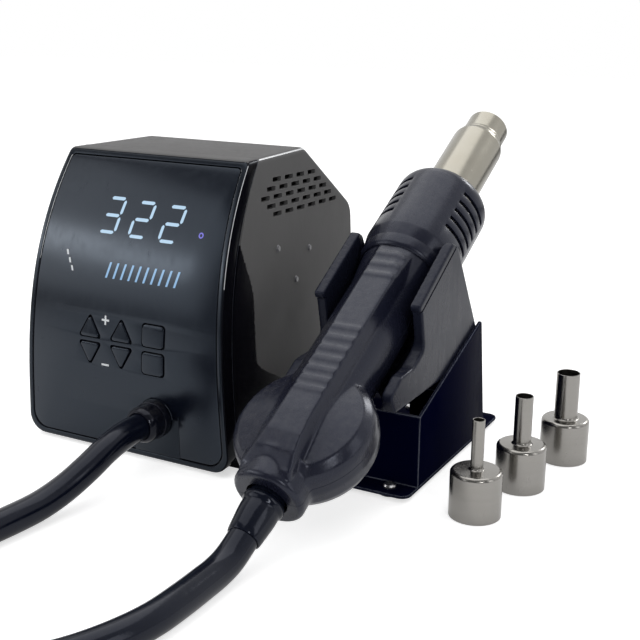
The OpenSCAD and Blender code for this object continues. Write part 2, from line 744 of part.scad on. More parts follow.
// What the grip lies in: U trough with a flared upper end
module cradle_trough() {
    translate([0, -u_shift, 0]) cylinder(r = cheek_in, h = 200);
    translate([-cheek_in, -60 - u_shift, 0]) cube([2 * cheek_in, 60, 200]);
    translate([0, 0, collar_from + 5])
        rotate([90, 0, 0]) linear_extrude(60)
            polygon([[-cheek_in, 0], [cheek_in, 0], [cheek_in + 3, 12], [-cheek_in - 3, 12]]);
}

module cradle_magnet() color("silver") on_cradle()
    translate([0, floor_n + cradle_floor - 2, magnet_s])
        rotate([-90, 0, 0]) cylinder(r = 4, h = 2);

module cradle_screws() color("silver")
    for (side = [-1, 1], y = cradle_screw_y)
        translate([stand_x + side * cradle_screw_x, y, shelf_z - shelf_t - touch]) {
            translate([0, 0, -2]) cylinder(r = 2.3, h = 2);
            cylinder(r = 1.25, h = shelf_t + 8);
        }

// Outer or inner form of the grip, smaller by an inset
module grip_form(inset) {
    translate([0, 0, bulge_s]) cylinder(r = grip_r - inset, h = grip_end - bulge_s - inset);
    // Flare up to the collar
    translate([0, 0, grip_end - flare_len])
        cylinder(r1 = grip_r - inset, r2 = band_r - inset, h = flare_len - inset);
    intersection() {
        linear_extrude(grip_end - inset)
            polygon([[-panel_half - 2.6 + inset, 0], [-panel_half - 2.2 + inset, inset - grip_r + 4],
                [-panel_half + inset * 0.6, inset - panel_n], [panel_half - inset * 0.6, inset - panel_n],
                [panel_half + 2.2 - inset, inset - grip_r + 4], [panel_half + 2.6 - inset, 0]]);
        hand_across(-20, 20)
            polygon([[0, 4 + inset], [-12, 4 + inset], [-14.6 + inset / 2, 6 + inset],
                [inset - panel_n + 2.6, 13 + inset], [inset - panel_n + 0.9, 22 + inset],
                [inset - panel_n, 33 + inset], [inset - panel_n, grip_end - inset], [0, grip_end - inset]]);
    }
    translate([0, 0, bulge_s]) rotate([90, 0, 0])
        rotate_extrude(convexity = 4) polygon(bulge_profile(inset));
    translate([0, 0, inset])
        rotate_extrude() polygon([[0, 0], [boss_r - inset - 1.4, 0], [boss_r - inset, 1.6],
            [boss_r - inset, 9.7], [boss_r - inset + 2, 14], [0, 14]]);
}

flare_len = 19;
// Bulge in radius and height over its middle plane
function bulge_profile(inset) =
    let (r = bulge_r - inset)
    [[0, inset - 17.5], [r - 8, inset - 17], [r - 4, inset - 14.6], [r - 1.2, inset - 10], [r, -4], [r, 3],
        [r - 0.8, 6 - inset * 0.6], [r - 4.1, 9.7 - inset], [0, 17 - inset]];

module half_space(front) translate([-100, front ? -200 : 0, -50]) cube([200, 200, 300]);

module grip_half(front)
    difference() {
        intersection() {
            grip_form(0);
            half_space(front);
        }
        difference() {
            grip_form(hand_wall);
            // Ring that holds the flange of the hose relief
            translate([0, 0, -1]) cylinder(r = 30, h = 5);
            translate([0, 0, 7 + touch]) cylinder(r = 30, h = 2.5);
            screw_posts();
        }
        translate([0, 0, -1]) cylinder(r = tail_hole_r, h = 20);
        translate([0, 0, 4]) cylinder(r = 11.6, h = 3 + touch);
        translate([0, 0, grip_end - 8]) cylinder(r = grip_r - hand_wall, h = 20);
    }

module screw_posts()
    for (spot = screw_spots)
        translate([spot[0], 0, spot[1]]) bar_y(post_r, -30, 30);

module grip_front() color([0.1, 0.1, 0.12]) on_hand()
    difference() {
        union() {
            grip_half(true);
            // Ribs across the raised panel
            for (s = rib_spots)
                translate([-rib_half, -panel_n - 0.5, s]) cube([2 * rib_half, 1, 1.6]);
            translate([0, 0, bulge_s])
                difference() {
                    bar_y(motor_r + 2, -14.5, -6);
                    bar_y(motor_r + 0.1, -30, 0);
                }
            for (s = [82, 118])
                translate([-1.5, -panel_n + hand_wall - 0.5, s]) cube([3, 12.3 - board_t, 3]);
        }
        for (spot = screw_spots)
            translate([spot[0], 0, spot[1]]) bar_y(1.1, -7, 1);
    }
rib_spots = [129, 122, 115, 80, 73, 67, 61];
rib_half = panel_half - 0.4;

module grip_rear() color([0.1, 0.1, 0.12]) on_hand()
    difference() {
        grip_half(false);
        translate([0, 0, bulge_s]) bar_y(grille_r + 0.1, 10, 30);
        for (spot = screw_spots)
            translate([spot[0], 0, spot[1]]) {
                bar_y(1.3, -1, 30);
                bar_y(2.7, 9, 30);
            }
    }

grille_r = 15;
module intake_grille() color([0.08, 0.08, 0.09]) on_hand()
    translate([0, 0, bulge_s])
        difference() {
            bar_y(grille_r, 15.1, 17.1);
            for (r = [4.2, 7.8, 11.4], turn = [0:3])
                rotate([90, 0, 0]) rotate([0, 0, 90 * turn + 8])
                    translate([0, 0, -18]) rotate_extrude(angle = 74) translate([r, 0]) square([2, 4]);
        }

module grip_screws() color("silver") on_hand()
    for (spot = screw_spots)
        translate([spot[0], 0, spot[1]])
            difference() {
                union() {
                    bar_y(1.05, -6, 9 + 2 * touch);
                    bar_y(2.4, 9 + touch, 10.6);
                }
                for (turn = [0, 90])
                    translate([0, 10.6, 0]) rotate([0, turn, 0]) cube([2.6, 1.4, 0.7], center = true);
            }

module vent_collar() color([0.1, 0.1, 0.12]) on_hand()
    difference() {
        rotate_extrude()
            polygon([[grip_r + touch, collar_from + touch], [band_r - 0.5, collar_from + touch],
                [band_r, collar_from + 0.6], [band_r, collar_from + 6], [collar_r, collar_from + 12],
                each corner_arc([collar_r, collar_from], [collar_r, collar_to], [0, collar_to], collar_dome, 6),
                [barrel_r + 2, collar_to], [barrel_r + 2, collar_to - collar_wall],
                each corner_arc([0, collar_to - collar_wall], [collar_r - collar_wall, collar_to - collar_wall],
                    [collar_r - collar_wall, collar_from], collar_dome - collar_wall, 4),
                [collar_r - collar_wall, collar_from + 13], [band_r - collar_wall, collar_from + 7.5],
                [band_r - collar_wall, collar_from + 4], [grip_r + touch, collar_from + 4]]);
        for (i = [0:4], turn = [0:2])
            rotate([0, 0, slot_from + 120 * turn])
                rotate_extrude(angle = slot_sweep)
                    translate([collar_r - 6, collar_to - 11.5 - 6 * i]) square([10, 2.1]);
    }
collar_dome = 5.6;
slot_from = -41;
slot_sweep = 50;

module heater_barrel() color([0.75, 0.74, 0.7]) on_hand()
    rotate_extrude()
        polygon([[barrel_r, barrel_from], [barrel_r, barrel_step], [barrel_r - 0.4, barrel_step + 1.6],
            [mouth_r + 0.2, barrel_step + 5], [mouth_r, barrel_step + 6], [mouth_r, hand_len],
            [mouth_r - 0.5, hand_len], [mouth_r - 0.5, barrel_step + 6], [barrel_r - 0.9, barrel_step + 1.4],
            [barrel_r - 0.5, barrel_step], [barrel_r - 0.5, barrel_from], [8, barrel_from],
            [8, barrel_from - 1.5], [band_r - collar_wall - touch, barrel_from - 1.5],
            [band_r - collar_wall - touch, barrel_from]]);

module mica_tube() color([0.75, 0.68, 0.5]) on_hand()
    translate([0, 0, barrel_from + touch])
        difference() {
            cylinder(r = barrel_r - 0.6, h = barrel_step - barrel_from - 3);
            translate([0, 0, -1]) cylinder(r = barrel_r - 1.3, h = 200);
        }

core_from = barrel_from + touch;
core_to = hand_len - 24;
module heater_core() color([0.9, 0.88, 0.82]) on_hand()
    translate([0, 0, core_from]) {
        cylinder(r = 4, h = core_to - core_from);
        for (turn = [0, 60, 120])
            rotate([0, 0, turn]) translate([-core_half, -1, 0]) cube([2 * core_half, 2, core_to - core_from]);
    }

module heater_coil() color([0.6, 0.55, 0.5]) on_hand()
    for (i = [0:9])
        translate([0, 0, core_from + 6 + 7.4 * i])
            rotate_extrude() translate([core_half + 0.1, 0]) square([0.8, 0.9]);

module hand_board() color([0.05, 0.25, 0.12]) on_hand() {
    translate([-7.5, -7.5, 66]) cube([15, board_t, 58]);
    translate([-5, -5.9 - touch, 84]) cube([9, 3, 12]);
    translate([-4, -5.9 - touch, 70]) cube([7, 4, 7]);
}

module reed_switch() color([0.8, 0.85, 0.85]) on_hand()
    translate([0, -4.6, 103]) cylinder(r = 1.2, h = 15);

module blower_motor() color([0.6, 0.6, 0.62]) on_hand()
    translate([0, 0, bulge_s])
        difference() {
            bar_y(motor_r, -motor_n[1], -motor_n[0]);
            bar_y(shaft_r + bore_fit, -8, 5);
        }

module impeller_shaft() color("silver") on_hand()
    translate([0, 0, bulge_s]) bar_y(shaft_r, -7, 11);

module impeller() color([0.15, 0.15, 0.16]) on_hand()
    translate([0, 0, bulge_s])
        difference() {
            union() {
                bar_y(impeller_r, 3, 4.2);
                bar_y(4.5, 3, 11);
                rotate([-90, 0, 0]) translate([0, 0, 4])
                    for (i = [0:blade_count - 1])
                        rotate([0, 0, 360 * i / blade_count])
                            linear_extrude(7.5) polygon(blade_outline());
            }
            bar_y(shaft_r + 0.01, 0, 20);
        }

// One backward-curved blade, swept from the hub to the rim
function blade_outline() =
    let (a = [for (i = [0:6]) blade_point(i / 6, 0)])
    let (b = [for (i = [6:-1:0]) blade_point(i / 6, 1)])
    concat(a, b);
function blade_point(t, side) =
    let (r = 4 + (impeller_r - 4.3) * t)
    let (a = 38 * t * t + side * 50 / r)
    r * [cos(a), sin(a)];

module hose_relief() color([0.07, 0.07, 0.08]) on_hand()
    rotate_extrude()
        polygon([[0, 6.95], [11.3, 6.95], [11.3, 4.05], [hose_r + 1.5, 4.05], [hose_r + 1.5, -1],
            [hose_r + 2.5, -1.6], [hose_r + 2.7, -3], [hose_r + 2.5, -4.6], [hose_r + 1.9, -5.4],
            [hose_r + 1.8, -9], [hose_r + 1.4, -14], [hose_r + 0.8, -relief_len], [0, -relief_len]]);

// Pressed sheet nozzle: skirt, rounded shoulder and outlet tube
function nozzle_profile(tube_r) =
    let (r1 = mouth_r + nozzle_fit + nozzle_t, r0 = mouth_r + nozzle_fit, h = nozzle_barrel_h, t = nozzle_t)
    concat(
        [[r0, 0], [r1, 0]], corner_arc([r1, 0], [r1, h], [tube_r, h], 1.9, 6),
        corner_arc([r1, h], [tube_r, h], [tube_r, nozzle_h], 1.2, 4),
        [[tube_r, nozzle_h], [tube_r - t, nozzle_h]],
        corner_arc([tube_r - t, nozzle_h], [tube_r - t, h - t], [r0, h - t], 1.2 + t, 4),
        corner_arc([tube_r - t, h - t], [r0, h - t], [r0, 0], 1.9 - t, 6)
    );
module nozzle(i) translate([nozzle_at[i][0], nozzle_at[i][1], 0])
    rotate_extrude() polygon(nozzle_profile(nozzle_tube_r[i]));
module nozzle_small() color([0.72, 0.7, 0.67]) nozzle(0);
module nozzle_medium() color([0.72, 0.7, 0.67]) nozzle(1);
module nozzle_large() color([0.72, 0.7, 0.67]) nozzle(2);

// Round tube swept along a route, with a set direction at either end
function route_dir(route, i, first, last) =
    i == 0 ? first : i == len(route) - 1 ? last : unit(route[i + 1] - route[i - 1]);
function route_ring(centre, dir) =
    let (side = unit(cross(dir, [0, 0, 1])))
    let (rise = cross(side, dir))
    [for (k = [0:hose_sides - 1])
        let (a = 360 * (k + 0.5) / hose_sides)
        centre + hose_r * (cos(a) * side + sin(a) * rise)];
module hose_tube(route, first, last) {
    n = len(route);
    polyhedron(
        points = [for (i = [0:n - 1]) each route_ring(route[i], route_dir(route, i, first, last))],
        faces = concat(
            [[for (k = [0:hose_sides - 1]) k]],
            [for (i = [0:n - 2], k = [0:hose_sides - 1])
                let (a = i * hose_sides + k, b = i * hose_sides + (k + 1) % hose_sides)
                [b, a, a + hose_sides, b + hose_sides]],
            [[for (k = [hose_sides - 1:-1:0]) (n - 1) * hose_sides + k]]
        )
    );
}

module hose_station_run() color([0.07, 0.07, 0.08])
    hose_tube(station_route, [0, -1, 0], [-sin(45), -cos(45), 0]);
module hose_hand_run() color([0.07, 0.07, 0.08])
    hose_tube(hand_route, [0, 1, 0], hand_dir);
module hose_coil() color([0.07, 0.07, 0.08]) translate([coil_at[0], coil_at[1], 0])
    rotate_extrude()
        translate([coil_r, coil_h / 2]) polygon(box_outline(hose_d, coil_h, 4));

housing();
base_pan();
bezel();
lens_panel();
display_module();
control_board();
key_temp_up();
key_temp_down();
key_air_up();
key_air_down();
key_mode();
key_set();
power_board();
transformer();
heatsink();
mains_inlet();
inlet_pins();
rocker_frame();
rocker();
side_pips();
case_screws();
rubber_feet();
gland_body();
gland_nut();
gland_locknut();
stand_bracket();
cradle_shelf();
cradle();
cradle_magnet();
cradle_screws();
stand_screws();
stand_feet();
grip_front();
grip_rear();
intake_grille();
grip_screws();
vent_collar();
heater_barrel();
mica_tube();
heater_core();
heater_coil();
hand_board();
reed_switch();
blower_motor();
impeller();
impeller_shaft();
hose_relief();
nozzle_small();
nozzle_medium();
nozzle_large();
hose_station_run();
hose_coil();
hose_hand_run();
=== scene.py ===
# %% [markdown]
# # A hot air rework station
# A control box with a dark sloping panel, a sheet stand with a moulded cradle, a hand-piece on a
# hose and three loose nozzles. The CAD part gives the frame: every size here is the same as there,
# and Blender adds the smooth forms, the edge rounding, the hose and the finishes.

# %% Frame
import math

import bmesh
import bpy
from mathutils import Matrix, Vector


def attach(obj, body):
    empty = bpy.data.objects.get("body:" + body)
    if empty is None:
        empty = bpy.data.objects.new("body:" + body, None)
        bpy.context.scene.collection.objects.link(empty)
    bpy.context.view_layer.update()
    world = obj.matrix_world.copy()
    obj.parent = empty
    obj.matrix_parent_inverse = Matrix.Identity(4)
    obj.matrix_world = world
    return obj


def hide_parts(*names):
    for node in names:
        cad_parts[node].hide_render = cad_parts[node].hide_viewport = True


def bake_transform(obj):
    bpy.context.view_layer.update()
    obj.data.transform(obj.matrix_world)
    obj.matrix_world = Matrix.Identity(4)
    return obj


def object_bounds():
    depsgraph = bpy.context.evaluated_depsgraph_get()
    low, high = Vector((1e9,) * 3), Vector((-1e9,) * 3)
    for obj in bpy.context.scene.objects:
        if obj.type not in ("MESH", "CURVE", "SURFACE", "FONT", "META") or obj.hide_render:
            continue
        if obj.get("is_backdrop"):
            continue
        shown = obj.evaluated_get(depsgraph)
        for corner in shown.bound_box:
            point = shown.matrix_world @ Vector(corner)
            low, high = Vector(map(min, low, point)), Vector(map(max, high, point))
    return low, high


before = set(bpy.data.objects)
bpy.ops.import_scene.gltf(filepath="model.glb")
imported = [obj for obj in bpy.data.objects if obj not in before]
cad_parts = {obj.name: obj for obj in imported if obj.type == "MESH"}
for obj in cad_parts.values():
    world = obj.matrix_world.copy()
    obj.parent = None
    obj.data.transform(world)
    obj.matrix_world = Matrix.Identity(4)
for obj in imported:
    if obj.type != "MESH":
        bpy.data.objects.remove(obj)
cad_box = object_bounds()
print("CAD box", [round(v, 4) for corner in cad_box for v in corner])

# %% [markdown]
# The camera stands where the photograph was taken: 28 degrees to the right of the front, 16 degrees
# up. Its lens comes from how quickly the far nozzle shrinks against the near one, so it is set from
# that measure and not by eye.

# %% Camera
CAMERA_AT = (0.2553, -0.4526, 0.2156)
CAMERA_YAW, CAMERA_PITCH, CAMERA_ROLL = (math.radians(a) for a in (28.4, 16.0, 0.47))
camera_data = bpy.data.cameras.new("photo_camera")
camera_data.sensor_width = 36
camera_data.lens = 62.16
camera = bpy.data.objects.new("photo_camera", camera_data)
bpy.context.scene.collection.objects.link(camera)
forward = Vector((-math.sin(CAMERA_YAW) * math.cos(CAMERA_PITCH),
                  math.cos(CAMERA_YAW) * math.cos(CAMERA_PITCH), -math.sin(CAMERA_PITCH)))
level = Vector((math.cos(CAMERA_YAW), math.sin(CAMERA_YAW), 0))
upward = level.cross(forward)
right = level * math.cos(CAMERA_ROLL) + upward * math.sin(CAMERA_ROLL)
upward = upward * math.cos(CAMERA_ROLL) - level * math.sin(CAMERA_ROLL)
camera.matrix_world = Matrix.Translation(CAMERA_AT) @ Matrix((right, upward, -forward)).transposed().to_4x4()
bpy.context.scene.camera = camera
print("camera looks along", [round(v, 3) for v in forward])

# %% [markdown]
# Most pieces are easier to draw in millimetres in a place of their own: the box from the middle of
# its foot, the hand-piece along its axis, the cradle along an axis of the same slope. The hand-piece
# lies turned by a degree and a half in its cradle, so those two have a matrix each.

# %% Places
STATION = Matrix.Translation((-0.0705, -0.052, 0)) @ Matrix.Scale(0.001, 4)
TAIL, CRADLE_AT = Vector((42.2, -102.5, 22.8)), Vector((46, -102.5, 22.8))
TILT, TURN = math.radians(30), math.radians(1.4)
ALONG = Vector((math.sin(TURN) * math.cos(TILT), math.cos(TURN) * math.cos(TILT), math.sin(TILT)))
SLOPE = Matrix.Rotation(TILT - math.pi / 2, 4, "X")
HAND_MM = Matrix.Translation(TAIL) @ Matrix.Rotation(-TURN, 4, "Z") @ SLOPE
CRADLE_MM = Matrix.Translation(CRADLE_AT) @ SLOPE
BENCH = Matrix.Scale(0.001, 4)
HAND = BENCH @ HAND_MM
print("tail of the hand-piece at", tuple(TAIL))

# %% [markdown]
# A finish is a Principled BSDF with a few shared effects. Each effect is a node group that puts out
# a height, a tone or a mask, so one drawing of it serves every material with its own numbers. Nodes
# could be wired one by one in each material, but a mend would then have to be made in all of them.

# %% Node helpers
def new_group(name, inputs, outputs):
    group = bpy.data.node_groups.new(name, "ShaderNodeTree")
    for label, value in inputs.items():
        socket = group.interface.new_socket(label, in_out="INPUT", socket_type="NodeSocketFloat")
        socket.default_value = value
    for label in outputs:
        group.interface.new_socket(label, in_out="OUTPUT", socket_type="NodeSocketFloat")
    return group, group.nodes.new("NodeGroupInput"), group.nodes.new("NodeGroupOutput")


def add(tree, kind, links=(), **values):
    """A node with its values set and its inputs linked, each link as input name and source socket."""
    node = tree.nodes.new(kind)
    for key, value in values.items():
        setattr(node, key, value)
    for label, source in links:
        if hasattr(source, "is_output"):
            tree.links.new(source, node.inputs[label])
        else:
            node.inputs[label].default_value = source
    return node


def maths(tree, operation, a, b=0.0, clamp=False):
    return add(tree, "ShaderNodeMath", [(0, a), (1, b)], operation=operation, use_clamp=clamp).outputs[0]


def place(tree, stretch=(1, 1, 1)):
    """Object coordinates, in metres and scaled to millimetres, stretched along each axis."""
    here = add(tree, "ShaderNodeTexCoord").outputs["Object"]
    return add(tree, "ShaderNodeVectorMath", [(0, here), (1, [1000 * s for s in stretch])],
               operation="MULTIPLY").outputs[0]


print("node helpers", [helper.__name__ for helper in (new_group, add, maths, place)])

# %% [markdown]
# Moulded plastic has a fine grain, taken over from the etched steel of its mould. Smooth Voronoi
# cells give its height, and a slow cloud gives a tone that keeps a wide surface from looking flat. A
# picture of grain would stretch on curved pieces, and a pattern in the object's own space doesn't.

# %% Fine moulded grain
EFFECTS = {}


def make_grain():
    group, given, result = new_group("moulded_grain", {"Size": 1.0, "Depth": 1.0}, ["Height", "Tone"])
    where = place(group)
    scale = maths(group, "DIVIDE", 1.0, given.outputs["Size"])
    cells = add(group, "ShaderNodeTexVoronoi", [("Vector", where), ("Scale", scale)], feature="SMOOTH_F1")
    cloud = add(group, "ShaderNodeTexNoise", [("Vector", where), ("Scale", 0.06), ("Detail", 3.0)])
    height = maths(group, "MULTIPLY", cells.outputs["Distance"], given.outputs["Depth"])
    group.links.new(height, result.inputs["Height"])
    group.links.new(cloud.outputs["Fac"], result.inputs["Tone"])
    return group


EFFECTS["grain"] = make_grain()
print("first effect", EFFECTS["grain"].name)

# %% [markdown]
# Hands and cloths polish a plastic where it turns over an edge. The Bevel node's normal differs from
# the true one only there, so their dot product finds the edges without any painting. A cloud breaks
# the line up, because an even line looks drawn. Where a finish gives its edges a much paler tone,
# the same mask carries a painted highlight line.

# %% Rubbed edges and painted edge highlights
def make_rub():
    """Where the surface turns over an edge the finish is polished and paler: wear, and on the frame and the
    stand a painted highlight.
    """
    group, given, result = new_group("rubbed_and_glinting_edges", {"Reach": 0.0008, "Patchiness": 0.5}, ["Mask"])
    soft = add(group, "ShaderNodeBevel", [("Radius", given.outputs["Reach"])], samples=4)
    sharp = add(group, "ShaderNodeNewGeometry")
    near = add(group, "ShaderNodeVectorMath", [(0, soft.outputs[0]), (1, sharp.outputs["Normal"])],
               operation="DOT_PRODUCT")
    edge = maths(group, "SUBTRACT", 1.0, near.outputs["Value"])
    edge = maths(group, "MULTIPLY", edge, 6.0, clamp=True)
    cloud = add(group, "ShaderNodeTexNoise", [("Vector", place(group)), ("Scale", 0.12), ("Detail", 4.0)])
    broken = maths(group, "MULTIPLY", cloud.outputs["Fac"], given.outputs["Patchiness"])
    mask = maths(group, "SUBTRACT", edge, broken, clamp=True)
    group.links.new(mask, result.inputs["Mask"])
    return group


EFFECTS["edge_glint_and_wear"] = make_rub()
print("rubbed edges reach", EFFECTS["edge_glint_and_wear"].interface.items_tree["Reach"].default_value * 1000, "mm")

# %% [markdown]
# Fingers leave a thin film, duller in some places and glossier in others. Two noises, one of them
# drawn out into streaks, are multiplied, so that the marks come in groups. They change only the
# roughness, since a film this thin has no colour.

# %% Finger marks
def make_smears():
    """Slow clouds with a few streaks in them, for the places that hands and cloths reach."""
    group, given, result = new_group("finger_marks", {"Size": 1.0}, ["Mask", "Height"])
    scale = maths(group, "DIVIDE", 0.05, given.outputs["Size"])
    cloud = add(group, "ShaderNodeTexNoise",
                [("Vector", place(group)), ("Scale", scale), ("Detail", 5.0), ("Distortion", 1.2)])
    streak = add(group, "ShaderNodeTexNoise",
                 [("Vector", place(group, (1, 1, 0.15))), ("Scale", maths(group, "MULTIPLY", scale, 9.0)),
                  ("Detail", 3.0)])
    both = maths(group, "MULTIPLY", cloud.outputs["Fac"], streak.outputs["Fac"])
    mask = maths(group, "MULTIPLY", maths(group, "SUBTRACT", both, 0.2), 3.0, clamp=True)
    group.links.new(mask, result.inputs["Mask"])
    group.links.new(streak.outputs["Fac"], result.inputs["Height"])
    return group


EFFECTS["smears"] = make_smears()
print("finger marks are made of", len(EFFECTS["smears"].nodes), "nodes")

# %% [markdown]
# Spun metal carries fine rings from the tool. Noise that is squeezed along the turning axis looks
# like them and costs far less than real grooves. The three inputs say how fast it changes along each
# axis, so the same group serves upright nozzles and the sloping barrel.

# %% Turned and brushed metal
def make_brushed():
    """Fine rings round a local axis, as left by spinning: long noise squeezed along that axis."""
    group, given, result = new_group("brushed_rings", {"Along X": 0.02, "Along Y": 0.02, "Along Z": 3.0},
                                     ["Height", "Tone"])
    here = add(group, "ShaderNodeTexCoord").outputs["Object"]
    stretch = add(group, "ShaderNodeCombineXYZ",
                  [("X", given.outputs["Along X"]), ("Y", given.outputs["Along Y"]),
                   ("Z", given.outputs["Along Z"])]).outputs[0]
    where = add(group, "ShaderNodeVectorMath", [(0, here), (1, stretch)], operation="MULTIPLY").outputs[0]
    where = add(group, "ShaderNodeVectorMath", [(0, where), ("Scale", 1000.0)], operation="SCALE").outputs[0]
    fine = add(group, "ShaderNodeTexNoise", [("Vector", where), ("Scale", 2.2), ("Detail", 6.0)])
    broad = add(group, "ShaderNodeTexNoise", [("Vector", where), ("Scale", 0.25), ("Detail", 2.0)])
    group.links.new(fine.outputs["Fac"], result.inputs["Height"])
    group.links.new(broad.outputs["Fac"], result.inputs["Tone"])
    return group


EFFECTS["rings"] = make_brushed()
print("brushed rings are made of", len(EFFECTS["rings"].nodes), "nodes")

# %% [markdown]
# Dust lies on what faces up and isn't wiped. The height of the normal picks those faces, and a rough
# noise breaks the film into specks.

# %% Dust
def make_dust():
    """Settles on faces that look up, in loose patches."""
    group, given, result = new_group("settled_dust", {"Amount": 0.3}, ["Mask"])
    normal = add(group, "ShaderNodeSeparateXYZ", [(0, add(group, "ShaderNodeNewGeometry").outputs["Normal"])])
    facing = maths(group, "SUBTRACT", normal.outputs["Z"], 0.45, clamp=True)
    patches = add(group, "ShaderNodeTexNoise",
                  [("Vector", place(group)), ("Scale", 0.35), ("Detail", 8.0), ("Roughness", 0.7)])
    speckle = maths(group, "SUBTRACT", patches.outputs["Fac"], 0.42)
    speckle = maths(group, "MULTIPLY", speckle, 3.0, clamp=True)
    mask = maths(group, "MULTIPLY", maths(group, "MULTIPLY", facing, speckle), given.outputs["Amount"])
    group.links.new(mask, result.inputs["Mask"])
    return group


EFFECTS["dust"] = make_dust()
print("dust is made of", len(EFFECTS["dust"].nodes), "nodes")

# %% [markdown]
# The box is grained and grey, with a band along its front that widens below and again at the foot.
# In the band the finish is polished and its near-black tone is painted shade. The border belongs to
# the finish and not to the form, so it is a mask: a line at a depth that steps back twice with the
# height, made ragged by noise where the polish runs out.

# %% Polished front of the box, with painted shade
BAND_FRONT = -33.0
BAND_STEPS = ((114.0, 78.0, 11.5), (50.0, 24.0, 34.0))


def make_front_band():
    """Painted shade along the front of the box. Each step starts at a height, ends at a lower one and makes
    the band wider by its last number.
    """
    group, given, result = new_group("polished_front_and_shade", {"Blur": 0.8}, ["Mask"])
    here = add(group, "ShaderNodeSeparateXYZ", [(0, place(group))])
    line = BAND_FRONT
    for high, low, wider in BAND_STEPS:
        step = add(group, "ShaderNodeMapRange",
                   [("Value", here.outputs["Z"]), ("From Min", high), ("From Max", low), ("To Max", wider)],
                   interpolation_type="SMOOTHSTEP")
        line = maths(group, "ADD", step.outputs[0], line)
    ragged = add(group, "ShaderNodeTexNoise", [("Vector", place(group)), ("Scale", 0.9), ("Detail", 6.0)])
    line = maths(group, "ADD", line, maths(group, "MULTIPLY", ragged.outputs["Fac"], 4.0))
    before = maths(group, "SUBTRACT", line, here.outputs["Y"])
    mask = maths(group, "DIVIDE", before, given.outputs["Blur"], clamp=True)
    group.links.new(mask, result.inputs["Mask"])
    return group


EFFECTS["front"] = make_front_band()
print("effects", sorted(EFFECTS))

# %% [markdown]
# A material places an effect with its own values and mixes what comes out of it. Three small helpers
# do that, so that each finish below reads as a list of layers.

# %% Using the effects
def effect(tree, name, **values):
    node = tree.nodes.new("ShaderNodeGroup")
    node.node_tree = EFFECTS[name]
    for label, value in values.items():
        node.inputs[label.replace("_", " ")].default_value = value
    return node


def mix(tree, mask, a, b):
    node = add(tree, "ShaderNodeMix", data_type="RGBA")
    tree.links.new(mask, node.inputs["Factor"])
    for socket, value in ((node.inputs["A"], a), (node.inputs["B"], b)):
        if hasattr(value, "is_output"):
            tree.links.new(value, socket)
        else:
            socket.default_value = (*value, 1)
    return node.outputs["Result"]


def shift_range(tree, value, low, high):
    return add(tree, "ShaderNodeMapRange", [("Value", value), ("To Min", low), ("To Max", high)]).outputs[0]


print("layers are mixed by", mix.__name__, "and", shift_range.__name__)

# %% [markdown]
# The plastics, the paint and the rubber differ only in how deep their grain is and how much gloss is
# left. One function makes them all: it mixes a paler tone into rubbed edges, which is wear on most
# pieces and a painted highlight on the frame and the stand, lets finger marks change the roughness,
# and presses the grain in with a Bump node. Black plastic is seen almost only by what it mirrors, so
# each one's own strength and tint of that mirror matter more than its colour.

# %% Plastics, paint and rubber
DUST_TONE = (0.32, 0.31, 0.29)


def moulded(name, tone, rough, worn=None, grain=0.5, depth=0.02, smear=0.08, dust=0.15, shine=0.5,
            tint=(1, 1, 1), reach=0.0006):
    """A coloured plastic, paint or rubber. tone and worn are colours, rough the middle roughness."""
    material = bpy.data.materials.new(name)
    material.use_nodes = True
    tree = material.node_tree
    shader = tree.nodes["Principled BSDF"]
    worn = worn or tuple(min(1, c * 1.8 + 0.01) for c in tone)
    grains = effect(tree, "grain", Size=grain, Depth=1.0)
    base = mix(tree, effect(tree, "edge_glint_and_wear", Reach=reach, Patchiness=0.5).outputs["Mask"], tone, worn)
    base = mix(tree, shift_range(tree, grains.outputs["Tone"], 0.0, 0.3), base, tuple(c * 0.7 for c in tone))
    base = mix(tree, effect(tree, "dust", Amount=dust).outputs["Mask"], base, DUST_TONE)
    tree.links.new(base, shader.inputs["Base Color"])
    marks = effect(tree, "smears", Size=1.0)
    tree.links.new(shift_range(tree, marks.outputs["Mask"], rough - smear / 2, rough + smear),
                   shader.inputs["Roughness"])
    bump = add(tree, "ShaderNodeBump", [("Height", grains.outputs["Height"]), ("Strength", 1.0),
                                        ("Distance", depth * 0.001)])
    tree.links.new(bump.outputs[0], shader.inputs["Normal"])
    shader.inputs["Specular IOR Level"].default_value = shine
    shader.inputs["Specular Tint"].default_value = (*tint, 1)
    return material


print("moulded finishes take", moulded.__code__.co_argcount, "values")

# %% Grained shell, polished and with painted shade at its front
def polish_front(material, tone, rough):
    """Mixes a second tone and roughness into the front band of the box; the darker tone is painted shade."""
    tree = material.node_tree
    shader = tree.nodes["Principled BSDF"]
    mask = effect(tree, "front").outputs["Mask"]
    colour, roughness = shader.inputs["Base Color"], shader.inputs["Roughness"]
    tree.links.new(mix(tree, mask, colour.links[0].from_socket, tone), colour)
    blend = add(tree, "ShaderNodeMix",
                [("Factor", mask), ("A", roughness.links[0].from_socket), ("B", rough)], data_type="FLOAT")
    tree.links.new(blend.outputs["Result"], roughness)
    return material


grained = moulded("grained_shell_with_painted_shade", (0.116, 0.115, 0.116), 0.5, grain=0.35, depth=0.05, shine=0.035)
# The near-black tone of the front band is painted shade, and its lower roughness is the polish.
FINISH = {"shell": polish_front(grained, (0.003, 0.003, 0.005), 0.22)}
print("shell mixes", len(FINISH["shell"].node_tree.nodes), "nodes")

# %% [markdown]
# The outside is all dark, and the photograph tells the pieces apart by their gloss and by a hint of
# blue: the panel and the frame mirror a cold room, the grip and the cradle a softer one. The inside
# keeps the usual colours of its makers, such as green boards and amber winding tape.

